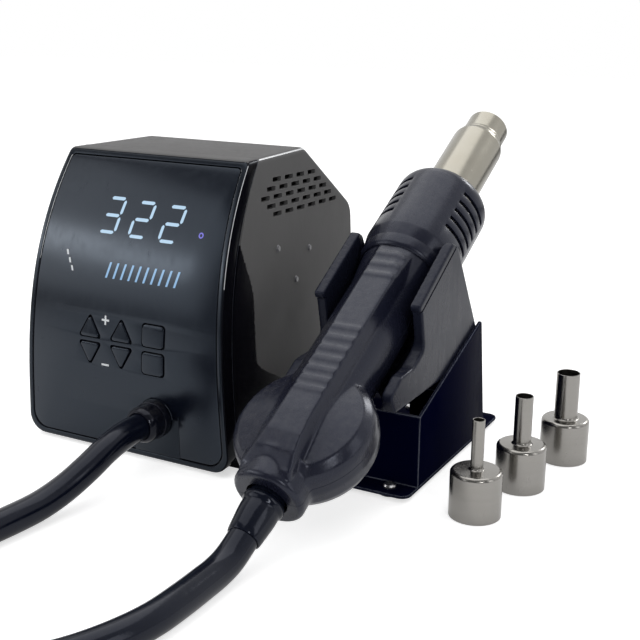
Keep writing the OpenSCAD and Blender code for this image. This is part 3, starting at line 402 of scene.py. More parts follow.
# %% Plastics and paints by name
NAVY, DUSK = (0.7, 0.83, 1.0), (0.82, 0.86, 1.0)
FINISH.update({
    # A pale finish for edge faces, which paints the highlight along them.
    "painted_edge_highlight": moulded("painted_highlight_edge", (0.58, 0.59, 0.61), 0.3, grain=0.5, depth=0.004, shine=1.0),
    # The frame's pale edge tone is a painted highlight line along its edges.
    "frame": moulded("polished_black_frame", (0.003, 0.003, 0.005), 0.14, grain=3, depth=0.002, smear=0.05,
                     shine=0.06, tint=NAVY, worn=(0.16, 0.18, 0.22), reach=0.0012),
    "frame_face": moulded("polished_frame_face", (0.002, 0.003, 0.006), 0.24, grain=4, depth=0.001,
                          smear=0.06, dust=0.03, shine=0.42, tint=NAVY),
    "panel": moulded("smoked_panel", (0.002, 0.003, 0.007), 0.24, grain=4, depth=0.001, smear=0.06, dust=0.03,
                     shine=0.5, tint=NAVY),
    "key": moulded("polished_key", (0.003, 0.004, 0.008), 0.22, grain=1, depth=0.003, smear=0.1, shine=0.45,
                   tint=NAVY),
    "grip": moulded("moulded_charcoal", (0.008, 0.009, 0.018), 0.27, grain=0.4, depth=0.012, shine=0.38,
                    tint=DUSK),
    "cradle": moulded("cradle_charcoal", (0.009, 0.0105, 0.02), 0.3, grain=0.4, depth=0.015, shine=0.16,
                      tint=DUSK),
    # On this near-black paint the pale edge tone is a painted highlight line along the sheet's edges.
    "stand": moulded("gloss_stand_paint", (0.0008, 0.0014, 0.012), 0.2, worn=(0.22, 0.24, 0.3), grain=1.5,
                     depth=0.006, reach=0.0012, dust=0.02, shine=0.001, tint=NAVY),
    "gland": moulded("gland_nylon", (0.0035, 0.004, 0.008), 0.2, grain=0.5, depth=0.01, shine=0.25,
                     tint=DUSK),
    "hose": moulded("hose_rubber", (0.0028, 0.004, 0.0095), 0.17, grain=1.2, depth=0.012, smear=0.1,
                    dust=0.03, shine=0.26, tint=DUSK),
    "foot": moulded("foot_rubber", (0.02, 0.02, 0.02), 0.75, grain=0.6, depth=0.05),
    "inlet": moulded("inlet_plastic", (0.02, 0.02, 0.022), 0.35, grain=0.5, depth=0.01),
    "pip": moulded("pip_plastic", (0.12, 0.12, 0.13), 0.25, grain=1, depth=0.003),
    "board": moulded("solder_mask_green", (0.01, 0.09, 0.035), 0.3, grain=0.8, depth=0.02),
    "display": moulded("display_case", (0.5, 0.52, 0.55), 0.5, grain=0.8, depth=0.01),
    "winding": moulded("winding_tape", (0.5, 0.3, 0.05), 0.4, grain=1.5, depth=0.05),
    "ceramic": moulded("fired_ceramic", (0.75, 0.72, 0.66), 0.7, grain=0.3, depth=0.06),
    "mica": moulded("rolled_mica", (0.5, 0.42, 0.27), 0.25, grain=2.5, depth=0.04),
})
print(len(FINISH), "plastics and paints")

# %% [markdown]
# The barrel and the nozzles are thin stainless sheet, spun and lightly brushed. Heat has turned the
# barrel a little straw. The rings run round each one's own axis, so the noise is squeezed along it. A
# measured steel would need a film of oxide with colours of its own, and a second tone in patches
# gives the same look.

# %% Metals
def metal(name, tone, stain, rough, along, depth=0.004, brushed=0.12):
    material = bpy.data.materials.new(name)
    material.use_nodes = True
    tree = material.node_tree
    shader = tree.nodes["Principled BSDF"]
    shader.inputs["Metallic"].default_value = 1.0
    rings = effect(tree, "rings", Along_X=along[0], Along_Y=along[1], Along_Z=along[2])
    grains = effect(tree, "grain", Size=2.0, Depth=1.0)
    marks = effect(tree, "smears", Size=0.7)
    base = mix(tree, shift_range(tree, rings.outputs["Tone"], 0.0, 1.0), tone, tuple(c * 0.86 for c in tone))
    base = mix(tree, shift_range(tree, grains.outputs["Tone"], 0.0, 0.8), base, stain)
    tree.links.new(base, shader.inputs["Base Color"])
    fine = shift_range(tree, rings.outputs["Height"], rough - brushed / 2, rough + brushed / 2)
    tree.links.new(maths(tree, "ADD", fine, maths(tree, "MULTIPLY", marks.outputs["Mask"], 0.08)),
                   shader.inputs["Roughness"])
    bump = add(tree, "ShaderNodeBump", [("Height", rings.outputs["Height"]), ("Distance", depth * 0.001)])
    tree.links.new(bump.outputs[0], shader.inputs["Normal"])
    return material


FINISH.update({
    "barrel": metal("straw_steel_barrel", (0.34, 0.328, 0.286), (0.285, 0.262, 0.216), 0.22,
                    (0.03, 0.1, 0.25), 0.002, 0.08),
    "nozzle": metal("spun_steel_nozzle", (0.325, 0.315, 0.3), (0.27, 0.258, 0.237), 0.22, (0.02, 0.02, 3.0)),
    "screw": metal("plated_screw", (0.75, 0.75, 0.76), (0.6, 0.6, 0.6), 0.28, (1.0, 1.0, 1.0)),
    "plated": metal("plated_metal", (0.72, 0.72, 0.74), (0.6, 0.6, 0.62), 0.2, (1.0, 1.0, 1.0)),
    "fins": metal("extruded_aluminium", (0.8, 0.8, 0.82), (0.7, 0.7, 0.7), 0.35, (0.1, 0.1, 2.0)),
    "wire": metal("resistance_wire", (0.4, 0.37, 0.34), (0.25, 0.22, 0.2), 0.45, (1.0, 1.0, 1.0)),
})
print(len(FINISH), "finishes with the metals")

# %% [markdown]
# What the display shows is lit from behind a smoked panel. Real light through a real smoked sheet
# costs much time for little, so each lit mark is a thin tile on the panel that glows by itself, with a
# slightly uneven backlight. The printed marks are plain pale ink, and the reed switch inside the grip
# is a small glass tube.

# %% Light, ink and glass
def glowing(name, tone, strength):
    material = bpy.data.materials.new(name)
    material.use_nodes = True
    tree = material.node_tree
    shader = tree.nodes["Principled BSDF"]
    uneven = effect(tree, "grain", Size=1.5, Depth=1.0)
    glow = mix(tree, shift_range(tree, uneven.outputs["Tone"], 0.0, 0.5), tone, tuple(c * 0.75 for c in tone))
    tree.links.new(glow, shader.inputs["Emission Color"])
    shader.inputs["Emission Strength"].default_value = strength
    shader.inputs["Base Color"].default_value = (0.02, 0.02, 0.03, 1)
    shader.inputs["Roughness"].default_value = 0.2
    return material


def clear_glass(name):
    material = bpy.data.materials.new(name)
    material.use_nodes = True
    shader = material.node_tree.nodes["Principled BSDF"]
    shader.inputs["Transmission Weight"].default_value = 1.0
    marks = effect(material.node_tree, "smears", Size=0.3)
    material.node_tree.links.new(shift_range(material.node_tree, marks.outputs["Mask"], 0.02, 0.15),
                                 shader.inputs["Roughness"])
    return material


FINISH["figures"] = glowing("lit_figures", (0.46, 0.66, 0.84), 1.0)
FINISH["bars"] = glowing("lit_bars", (0.22, 0.42, 0.66), 1.0)
FINISH["unit"] = glowing("lit_unit", (0.22, 0.2, 0.85), 0.8)
FINISH["ink"] = moulded("pale_ink", (0.62, 0.65, 0.68), 0.5, grain=1, depth=0.001, dust=0.0)
FINISH["glass"] = clear_glass("reed_glass")
print(len(FINISH), "finishes in all")

# %% [markdown]
# Shapes are drawn as outlines with rounded corners and then extruded, bent, lofted or turned. They
# could be modelled by hand, but an outline with its radii says the sizes in one line, and a mend is
# one number.

# %% Outlines
def arc_corner(a, b, c, radius, steps):
    u, v = (Vector(a) - Vector(b)).normalized(), (Vector(c) - Vector(b)).normalized()
    half = math.acos(max(-1, min(1, u.dot(v)))) / 2
    start = Vector(b) + u * radius / math.tan(half)
    middle = Vector(b) + (u + v).normalized() * radius / math.sin(half)
    first = math.atan2(start.y - middle.y, start.x - middle.x)
    turn = (-1 if u.x * v.y - u.y * v.x > 0 else 1) * (math.pi - 2 * half)
    return [(middle.x + radius * math.cos(first + turn * i / steps),
             middle.y + radius * math.sin(first + turn * i / steps)) for i in range(steps + 1)]


def rounded(corners, steps=8):
    """An outline from corners given as x, y and radius."""
    points, count = [], len(corners)
    for i, (x, y, radius) in enumerate(corners):
        before, after = corners[i - 1][:2], corners[(i + 1) % count][:2]
        points += [(x, y)] if radius <= 0 else arc_corner(before, (x, y), after, radius, steps)
    return points


def dense(points, step, closed=True):
    """The same outline with points no further apart than step."""
    ends = points[1:] + points[:1] if closed else points[1:]
    made = []
    for a, b in zip(points, ends):
        count = max(1, math.ceil(math.dist(a, b) / step))
        made += [tuple(p + (q - p) * i / count for p, q in zip(a, b)) for i in range(count)]
    return made if closed else made + [points[-1]]


def bar_outline(w, h):
    return [(-w / 2, -h / 2), (w / 2, -h / 2), (w / 2, h / 2), (-w / 2, h / 2)]


print("points of a rounded corner", len(arc_corner((1, 0), (0, 0), (0, 1), 0.2, 8)))

# %% [markdown]
# An outline becomes a solid in one of three ways: drawn out straight, joined ring by ring, or turned
# about an axis. All three go through one function, which merges doubled points and turns every face
# outward, so that a Boolean can trust the mesh.

# %% Meshes and prisms
def mesh_object(name, points, faces):
    mesh = bpy.data.meshes.new(name)
    mesh.from_pydata([tuple(p) for p in points], [], faces)
    mesh.validate()
    obj = bpy.data.objects.new(name, mesh)
    bpy.context.scene.collection.objects.link(obj)
    shell = bmesh.new()
    shell.from_mesh(mesh)
    bmesh.ops.remove_doubles(shell, verts=shell.verts, dist=1e-5)
    bmesh.ops.recalc_face_normals(shell, faces=shell.faces)
    shell.to_mesh(mesh)
    shell.free()
    return obj


def prism(name, outline, low, high, axes="xzy"):
    """An outline drawn out between two levels. axes says which way its two numbers and the level go."""
    order = [axes.index(a) for a in "xyz"]
    points = [(*p, level) for level in (low, high) for p in outline]
    points = [tuple(p[i] for i in order) for p in points]
    n = len(outline)
    faces = [list(range(n)), list(range(n, 2 * n))]
    faces += [[i, (i + 1) % n, n + (i + 1) % n, n + i] for i in range(n)]
    return mesh_object(name, points, faces)


def placed(obj, *steps):
    """Moves the mesh of a piece by each matrix in turn."""
    for step in steps:
        obj.data.transform(step)
    return obj


print("straight solids from", prism.__name__)

# %% Rings and turned forms
def loft(name, rings, close_ends=True, ring_closed=False):
    """Rings of the same number of points, joined in turn."""
    n = len(rings[0])
    points = [p for ring in rings for p in ring]
    pairs = range(len(rings) if ring_closed else len(rings) - 1)
    faces = [[j * n + i, j * n + (i + 1) % n, ((j + 1) % len(rings)) * n + (i + 1) % n,
              ((j + 1) % len(rings)) * n + i] for j in pairs for i in range(n)]
    if close_ends and not ring_closed:
        faces += [list(range(n)), list(range(n * (len(rings) - 1), n * len(rings)))]
    return mesh_object(name, points, faces)


def turned(name, profile, axis="z", steps=96):
    """A closed profile of radius and height, turned about an axis. Points on the axis close it."""
    rings = []
    for k in range(steps):
        c, s = math.cos(2 * math.pi * k / steps), math.sin(2 * math.pi * k / steps)
        ring = [(r * c, r * s, h) for r, h in profile]
        if axis == "y":
            ring = [(x, -z, y) for x, y, z in ring]
        rings.append(ring)
    return loft(name, rings, ring_closed=True)


print("round solids from", loft.__name__, "and", turned.__name__)

# %% [markdown]
# Booleans cut slots and openings, and the Bevel modifier rounds edges. Both are applied at once, so
# that every piece is a plain mesh in the end, and faces that come out with no area are cleared away.
# A bevel is never wider than the shortest edge beside it allows, so it comes before the cuts where
# it can.

# %% Cutting and joining
SLIVER = 5e-3


def settle(obj):
    """Applies the modifiers, so that the shape is a plain mesh."""
    bpy.context.view_layer.update()
    graph = bpy.context.evaluated_depsgraph_get()
    made = bpy.data.meshes.new_from_object(obj.evaluated_get(graph))
    obj.modifiers.clear()
    form = bmesh.new()
    form.from_mesh(made)
    bmesh.ops.dissolve_degenerate(form, dist=SLIVER, edges=form.edges)
    form.to_mesh(made)
    form.free()
    obj.data = made
    return obj


def carve(obj, *tools, operation="DIFFERENCE"):
    for tool in tools:
        boolean = obj.modifiers.new("cut", "BOOLEAN")
        boolean.operation = operation
        boolean.solver = "EXACT"
        boolean.object = tool
    settle(obj)
    for tool in tools:
        bpy.data.objects.remove(tool)
    return obj


def join(name, *objects):
    target = objects[0]
    with bpy.context.temp_override(active_object=target, selected_editable_objects=list(objects)):
        bpy.ops.object.join()
    target.name = name
    return target


print("points closer than", SLIVER, "mm are merged after a cut")

# %% Rounding edges
def soften(obj, width, segments=2, angle=35):
    """Rounds the edges that turn by more than angle."""
    bevel = obj.modifiers.new("rounded_edges", "BEVEL")
    bevel.width = width
    bevel.segments = segments
    bevel.limit_method = "ANGLE"
    bevel.angle_limit = math.radians(angle)
    bevel.miter_outer = "MITER_ARC"
    bevel.harden_normals = False
    return settle(obj)


print("edges are rounded in", soften.__defaults__[0], "steps")

# %% [markdown]
# A finished piece is scaled to metres, gets its material and rides on its body, so that it moves with
# the joint. It also hides the CAD piece that it is drawn in place of.

# %% Finishing a piece
made_pieces = []


def finish_piece(obj, name, finish, body, node=None, slot=None, where=BENCH, smooth=40):
    """Brings a piece into the frame, gives it its finish and lets it ride on its body."""
    obj.name = name
    obj.data.name = name
    obj.data.transform(where)
    obj.data.materials.clear()
    obj.data.materials.append(FINISH[finish])
    obj.data.shade_smooth()
    obj.data.set_sharp_from_angle(angle=math.radians(smooth))
    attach(obj, body)
    if node:
        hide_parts(*([node] if isinstance(node, str) else node))
    made_pieces.append(name)
    print(f"{name}: {len(obj.data.polygons)} faces")
    return obj


def paint_faces(obj, finish, test):
    """Gives another finish to the faces whose normal and place in millimetres pass the test."""
    obj.data.materials.append(FINISH[finish])
    chosen = [face for face in obj.data.polygons if test(face.normal, face.center * 1000)]
    for face in chosen:
        face.material_index = len(obj.data.materials) - 1
    print(f"{obj.name}: {len(chosen)} faces in {finish}")


print("pieces so far", len(made_pieces))

# %% [markdown]
# The hose is one piece from the gland to the hand-piece, about a metre long and 13 mm across. It
# drops from the gland to the bench, runs to a coil of one and a half turns just outside the
# photograph, and comes back to the tail. Its route repeats the points of the CAD part. A tube with a
# ring of its own at each point bends evenly, so it is swept here and not made from a curve object.

# %% Hose route
HOSE_D = 13
station_route = [
    (-50.5, -65, 23.2), (-50.5, -76, 22.8), (-51, -88, 20.3), (-52, -101, 15.4), (-54, -114, 10.6),
    (-56, -127, 7.6), (-58, -140, 6.6), (-60, -154, 6.5), (-63, -170, 6.5), (-69, -186, 6.5),
    (-78, -201, 6.5), (-91, -216, 6.5), (-108, -232, 6.5)]
tail_end = TAIL - ALONG * 18
hand_route = [
    (8, -280, 19.5), (9, -265, 19), (12, -251, 16), (17, -236, 11.3), (23.5, -221, 7.9), (30.5, -207, 6.7),
    (36.5, -192, 6.5), (40.2, -177, 6.5), (41.2, -162, 6.5), (41.3, -148, 6.5), (41.4, -138, 6.8),
    (41.6, -129, 8.7), tuple(tail_end)]
COIL_AT, COIL_R = (-60, -280), 68
CLIMB_FROM, CLIMB_OVER = 420, 75


def coil_point(degrees):
    """The coil from its start at 135 degrees to its end at 720, the last part lying on the first."""
    a = math.radians(degrees)
    rise = min(1, max(0, (degrees - CLIMB_FROM) / CLIMB_OVER))
    return (COIL_AT[0] + COIL_R * math.cos(a), COIL_AT[1] + COIL_R * math.sin(a),
            HOSE_D / 2 + HOSE_D * rise * rise * (3 - 2 * rise))


route = station_route + [coil_point(d) for d in range(150, 720, 15)] + hand_route
print("route of", len(route), "points")

# %% Smooth line of the hose
def smooth_route(points, parts=4):
    """A Catmull-Rom line through the points."""
    pts = [Vector(p) for p in points]
    pts = [2 * pts[0] - pts[1], *pts, 2 * pts[-1] - pts[-2]]
    line = []
    for p0, p1, p2, p3 in zip(pts, pts[1:], pts[2:], pts[3:]):
        for i in range(parts):
            t = i / parts
            line.append(0.5 * (2 * p1 + (p2 - p0) * t + (2 * p0 - 5 * p1 + 4 * p2 - p3) * t * t
                               + (3 * p1 - p0 - 3 * p2 + p3) * t ** 3))
    return line + [pts[-2]]


hose_line = smooth_route(route)
hose_length = sum((b - a).length for a, b in zip(hose_line, hose_line[1:]))
print(f"hose {hose_length:.0f} mm along {len(hose_line)} points")

# %% Hose
def sweep(name, line, radius, sides=20):
    """A round tube along a line, its rings turned only as much as the line turns."""
    rings, side = [], Vector((1, 0, 0))
    for i, point in enumerate(line):
        way = (line[min(i + 1, len(line) - 1)] - line[max(i - 1, 0)]).normalized()
        side = (side - way * side.dot(way)).normalized()
        rise = side.cross(way)
        rings.append([point + radius * (math.cos(a) * side + math.sin(a) * rise)
                      for a in (2 * math.pi * k / sides for k in range(sides))])
    return loft(name, rings)


hose = sweep("hose", hose_line, HOSE_D / 2)
hose.data.transform(BENCH)
hose.data.materials.append(FINISH["hose"])
hose.data.shade_smooth()
hose.data.set_sharp_from_angle(angle=math.radians(60))
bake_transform(hose)
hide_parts("hose_station_run", "hose_coil", "hose_hand_run")
print("hose faces", len(hose.data.polygons))

# %% [markdown]
# The front of the box is one curve, upright at the foot and leaning back at the top, and the sides
# lean in as well. Two functions hold that form, and everything on the front is first drawn flat and
# then bent onto the curve, cut into thin level strips so that reflections run smoothly over it.

# %% Form of the box
BODY_H, BODY_W, BODY_D, TOP_D, REAR_DROP, LEAN = 145, 123, 153.5, 60, 38.5, 34
SEAM_Z, BEZEL_D, BEZEL_RIM, LENS_T, FOOT_Z, WALL = 10, 10, 3.2, 2.4, 1.5, 2.2
SIDE_LEAN, SIDE_TAPER = 0.0403, 0.073


def setback(z):
    t = z / BODY_H
    return LEAN * (-0.0755 * t - 0.269 * t * t + 1.3445 * t ** 3)


def half_width(y, z):
    return BODY_W / 2 - SIDE_LEAN * z - SIDE_TAPER * y


def bend_to_front(obj, strip=3.0):
    """Cuts a flat piece into level strips and moves each point back by the front's setback."""
    form = bmesh.new()
    form.from_mesh(obj.data)
    low = min(v.co.z for v in form.verts)
    high = max(v.co.z for v in form.verts)
    level = (math.floor(low / strip) + 1) * strip
    while level < high:
        everything = form.verts[:] + form.edges[:] + form.faces[:]
        bmesh.ops.bisect_plane(form, geom=everything, plane_co=(0, 0, level), plane_no=(0, 0, 1))
        level += strip
    for v in form.verts:
        v.co.y += setback(v.co.z)
    form.to_mesh(obj.data)
    form.free()
    return obj


print("front leans back", LEAN, "mm over", BODY_H)

# %% [markdown]
# The upper shell is a closed leaning solid with a smaller one taken out of it, so the vents open
# into a real hollow. Only the long edges where the top, slope and back meet the sides are rounded
# wide: they are marked with a bevel weight before the hollow is cut.

# %% Outline of the side
def side_line(inset, low, lead=0.0):
    turn = math.atan2(REAR_DROP, BODY_D - LEAN - TOP_D)
    top = (LEAN + TOP_D - inset * math.tan(turn / 2), BODY_H - inset)
    back = (BODY_D - inset, BODY_H - REAR_DROP - inset * math.tan(math.pi / 4 - turn / 2))
    levels = [low + (BODY_H - inset - low) * i / 40 for i in range(41)]
    line = [(setback(z) + BEZEL_D - lead, z) for z in levels]
    line += arc_corner((LEAN + BEZEL_D, top[1]), top, back, 11 - inset, 10)
    line += arc_corner(top, back, (back[0], low), 12 - inset, 12)
    return line + [(back[0], low)]


print("side outline of", len(side_line(0, SEAM_Z)), "points")

# %% Leaning solid
LEVEL_WEIGHT = 0.12


def side_by_side(line, inset):
    """The line on both sides of the box, and the faces that close the solid between them."""
    n = len(line)
    points = [(side * (half_width(y, z) - inset), y, z) for side in (-1, 1) for y, z in line]
    faces = [list(range(n)), list(range(n, 2 * n))]
    return points, faces + [[i, (i + 1) % n, n + (i + 1) % n, n + i] for i in range(n)]


def leaning_solid(name, inset, low, lead=0.0, round_edges=0.0):
    obj = mesh_object(name, *side_by_side(side_line(inset, low, lead), inset))
    if round_edges:
        weights = obj.data.attributes.new("bevel_weight_edge", "FLOAT", "EDGE")
        for edge in obj.data.edges:
            a, b = (obj.data.vertices[i].co for i in edge.vertices)
            on_side = (a.x > 0) == (b.x > 0)
            level_or_front = (abs(a.z - low) < 0.1 and abs(b.z - low) < 0.1) or all(
                abs(v.y - setback(v.z) - BEZEL_D) < 0.1 for v in (a, b))
            weights.data[edge.index].value = LEVEL_WEIGHT if level_or_front else float(on_side)
        bevel = obj.modifiers.new("round", "BEVEL")
        bevel.limit_method = "WEIGHT"
        bevel.width = round_edges
        bevel.segments = 5
        settle(obj)
    return obj


shell = leaning_solid("housing", 0, SEAM_Z + 0.2, round_edges=2.6)
hollow = leaning_solid("hollow", WALL, SEAM_Z - 3, lead=6)
print("shell before the cuts", len(shell.data.polygons), "faces")

# %% [markdown]
# The vents are five rows of short slots through both sides, as in the photograph. The back has an
# opening for the mains inlet and one for the switch. The slots are joined into one cutter first,
# which is quicker than a cut for each. The faces of the long top edges get a pale finish, a painted
# highlight along them.

# %% Vents and openings
VENT_ROWS = [(133, 61, 4), (129.1, 54.8, 5), (125.2, 48.2, 6), (120.7, 54.2, 6), (116.2, 60.3, 6)]
VENT_PITCH, VENT_FALL, VENT_LONG, VENT_HIGH = 13.3, math.radians(2.3), 9.2, 2.4
vent = rounded([(*corner, 0.5) for corner in bar_outline(VENT_LONG, VENT_HIGH)], 2)
slots = []
for height, first, count in VENT_ROWS:
    for i in range(count):
        slots.append(placed(prism("vent", vent, -70, 70, "yzx"), Matrix.Translation((0, VENT_PITCH * i, 0)),
                            Matrix.Rotation(-VENT_FALL, 4, "X"), Matrix.Translation((0, first, height))))
INLET, SWITCH = ((-20, 34), (26.6, 19.6)), ((18, 34), (19.2, 13))
openings = [prism("opening", [(x + dx, z + dz) for dx, dz in bar_outline(*size)], BODY_D - 8, BODY_D + 8)
            for (x, z), size in (INLET, SWITCH)]
carve(shell, hollow, join("vents", *slots), *openings)
finish_piece(shell, "upper_shell", "shell", "station", "housing", "shell_black", STATION)
# The pale faces along the long top edges are a painted highlight.
paint_faces(shell, "painted_edge_highlight", lambda n, at: abs(n.x) > 0.6 and n.z > 0.6)

# %% [markdown]
# The bottom tray is drawn in the same way between the foot and the seam. A shadow gap of a fifth of
# a millimetre is left at the seam, which is what shows of it on the real box.

# %% Bottom tray
def tray_solid(name, inset, low, high, front):
    corners = [(front + inset, low), (BODY_D - inset, low), (BODY_D - inset, high), (front + inset, high)]
    return mesh_object(name, *side_by_side(dense(corners, 20), inset))


tray = tray_solid("tray", 0, FOOT_Z, SEAM_Z, BEZEL_D + 0.1)
carve(tray, tray_solid("tray_hollow", WALL, FOOT_Z + 2.5, SEAM_Z + 3, BEZEL_D + 0.1))
soften(tray, 0.3, 2, 50)
posts = [Matrix.Translation((s * x, y, 0)) for s in (-1, 1) for x, y in ((49, 30), (42, BODY_D - 14))]
screw_hole = [(0, -1), (3.2, -1), (3.2, 3.7), (1.7, 3.7), (1.7, 20), (0, 20)]
holes = [placed(turned("hole", screw_hole, steps=32), post) for post in posts]
stem = [(0, FOOT_Z), (5, FOOT_Z), (5, SEAM_Z), (0, SEAM_Z)]
stems = [placed(turned("post", stem, steps=40), post) for post in posts]
carve(tray, join("stems", *stems), operation="UNION")
carve(tray, join("holes", *holes))
finish_piece(tray, "bottom_tray", "shell", "station", "base_pan", "shell_black", STATION)

# %% [markdown]
# The frame round the panel is polished and catches thin lines of light along its edges, so it is
# lofted from rings that already hold those roundings: round the outside, over the front edge, down
# into the seat of the panel and back inside.

# %% Rings of the front frame
RING_PARTS = 40


def front_ring(inset, depth, low_r, top_r):
    """The outline of the front, inset all round, at a depth behind the curve."""
    z0, z1 = FOOT_Z + inset, BODY_H - inset
    w0, w1 = half_width(setback(z0), z0) - inset, half_width(setback(z1), z1) - inset
    corners = [(-w0, z0, low_r), (w0, z0, low_r), (w1, z1, top_r), (-w1, z1, top_r)]
    parts = []
    for i, (x, z, radius) in enumerate(corners):
        before, after = corners[i - 1][:2], corners[(i + 1) % 4][:2]
        parts.append(arc_corner(before, (x, z), after, max(radius, 0.05), 8))
    ring = []
    for part, following in zip(parts, parts[1:] + parts[:1]):
        ring += part[:-1]
        a, b = part[-1], following[0]
        ring += [(a[0] + (b[0] - a[0]) * i / RING_PARTS, a[1] + (b[1] - a[1]) * i / RING_PARTS)
                 for i in range(RING_PARTS)]
    made = []
    for x, z in ring:
        y = setback(z) + depth
        made.append((x * half_width(y, z) / half_width(setback(z), z), y, z))
    return made


FRAME_RINGS = [
    (0.25, 10.0, 9, 2.5), (0, 9.75, 9, 2.5), (0, 1.0, 9, 2.5), (0.08, 0.6, 9, 2.5), (0.3, 0.3, 9, 2.4),
    (0.6, 0.1, 8.8, 2.3), (1.0, 0.0, 8.6, 2.2), (2.6, 0.0, 8.2, 2.0), (2.85, 0.08, 8.1, 2.0),
    (3.0, 0.3, 8, 2), (3.0, 2.7, 8, 2), (8, 2.7, 4, 2), (8, 5.2, 4, 2), (2.4, 5.2, 8, 2),
    (2.4, 10.0, 8, 2)]
bezel = loft("front_frame", [front_ring(*r) for r in FRAME_RINGS], ring_closed=True)
print("frame of", len(FRAME_RINGS), "rings")

# %% [markdown]
# Behind the panel the frame has a web, and round the gland a land that the panel's notch leaves
# free. The real frame is one moulding with several finishes: its face is as glossy as the panel, its
# top is grained like the shell and its sides are dull. Its side edges above a height, where they
# curve back, get a pale finish that is a painted highlight. The normal of a face tells which it is.

# %% Land, web and finishes of the frame
GLAND, GLAND_R, NOTCH_HALF, NOTCH_UP = (20, 23.2), 9.4, 13.4, 1.3
BRIGHT_FROM = 91


def notch_outline(shrink, foot):
    """A square notch with an arch over the gland, smaller all round by shrink."""
    half, top, radius = NOTCH_HALF - shrink, NOTCH_UP - shrink, GLAND_R + 0.5 - shrink
    first = math.asin(top / radius)
    arch = [(radius * math.cos(first + (math.pi - 2 * first) * i / 24),
             radius * math.sin(first + (math.pi - 2 * first) * i / 24)) for i in range(25)]
    edge = arch[0][0]
    right = arc_corner((half, foot), (half, top), (edge, top), 2 - shrink, 6)
    left = [(-x, z) for x, z in reversed(right)]
    line = [(-half, foot - GLAND[1]), (half, foot - GLAND[1]), *right, *arch, *left]
    return [(x + GLAND[0], z + GLAND[1]) for x, z in line]


land = prism("land", notch_outline(0.25, 4.6), 0.2, 4.9)
soften(land, 0.25, 2)
bend_to_front(land)
w_low, w_high = half_width(0, 6) - 4, half_width(0, 38) - 4
web = bend_to_front(prism("web", [(-w_low, 5), (w_low, 5), (w_high, 38), (-w_high, 38)], 2.8, 5.1))
join("front_frame", bezel, land, web)
finish_piece(bezel, "front_frame", "frame", "station", "bezel", "gloss_black", STATION)
paint_faces(bezel, "frame_face", lambda n, at: n.y < -0.7 and abs(n.x) < 0.3)
paint_faces(bezel, "shell", lambda n, at: n.z > 0.8)
# The pale upper side edges of the frame are a painted highlight.
paint_faces(bezel, "painted_edge_highlight", lambda n, at: 0.66 < abs(n.x) < 0.9 and n.y < -0.3 and at.z > BRIGHT_FROM)

# %% [markdown]
# The dark panel fills the frame. It has six openings for the keys and a notch cut out round the
# gland. Cutting is done while it is flat, which keeps the openings clean, and the edges are rounded
# before it is bent.

# %% Dark panel
KEY_X, KEY_Z, KEY_W, KEY_H = (-19, 0, 19), (63.5, 50.0), 12.4, 10.6
KEYS = [("key_temp_up", 0, 0, 1), ("key_temp_down", 0, 1, -1), ("key_air_up", 1, 0, 1),
        ("key_air_down", 1, 1, -1), ("key_mode", 2, 0, 0), ("key_set", 2, 1, 0)]
PANEL_GAP, KEY_GAP = 0.35, 0.6


def key_outline(column, row, tip, grow):
    x, z, w, h = KEY_X[column], KEY_Z[row], KEY_W / 2 + grow, KEY_H / 2 + grow
    if tip == 0:
        return rounded([(x - w, z - h, 2), (x + w, z - h, 2), (x + w, z + h, 2), (x - w, z + h, 2)])
    w += grow
    return rounded([(x - w, z - tip * h, 1.2), (x + w, z - tip * h, 1.2), (x, z + tip * (h + grow), 1.2)], 6)


def flat_panel_outline(inset):
    z0, z1 = FOOT_Z + inset, BODY_H - inset
    w0, w1 = half_width(setback(z0), z0) - inset, half_width(setback(z1), z1) - inset
    return rounded([(-w0, z0, 8), (w0, z0, 8), (w1, z1, 2), (-w1, z1, 2)], 10)


panel = prism("dark_panel", flat_panel_outline(BEZEL_RIM + PANEL_GAP), 0.3, 0.3 + LENS_T)
cutters = [prism("key_hole", key_outline(c, r, t, KEY_GAP), -3, 6) for _, c, r, t in KEYS]
carve(panel, prism("notch", notch_outline(0, -5), -3, 6), *cutters)
soften(panel, 0.35, 3, 50)
bend_to_front(panel)
finish_piece(panel, "dark_panel", "panel", "station", "lens_panel", "smoked_panel", STATION, smooth=30)

# %% [markdown]
# Each key is a small pad that follows the curve of the panel and stands a third of a millimetre
# proud. What one sees is mostly the dark gap round it and the light on its rounded rim.

# %% Keys
KEY_PROUD, KEY_BACK, FLANGE_FROM, FLANGE_GROW = 0.35, 6.5, 3.0, 0.9
for name, column, row, tip in KEYS:
    pad = prism(name, key_outline(column, row, tip, 0), -KEY_PROUD, KEY_BACK)
    flange = prism("flange", key_outline(column, row, tip, FLANGE_GROW), FLANGE_FROM, KEY_BACK)
    soften(pad, 0.45, 3, 50)
    join(name, pad, flange)
    bend_to_front(pad, 2.0)
    finish_piece(pad, name + "_pad", "key", name, name, "key_gloss", STATION)

# %% [markdown]
# The display shows three slanted figures of seven strokes each, a row of ten strokes for the air
# and a few small marks. All are thin tiles cut to outline and bent onto the panel. A picture on the
# panel would be quicker, but tiles stay sharp from any distance and carry a finish of their own.

# %% Strokes and tiles
SLANT = 0.16
FIGURE_W, FIGURE_H, STROKE = 9.2, 15.4, 1.45
STROKES = {
    "a": ((0, 1), (1, 1)), "b": ((1, 1), (1, 0.5)), "c": ((1, 0.5), (1, 0)), "d": ((0, 0), (1, 0)),
    "e": ((0, 0.5), (0, 0)), "f": ((0, 1), (0, 0.5)), "g": ((0, 0.5), (1, 0.5)),
}
FIGURES = {"3": "abgcd", "2": "abged"}


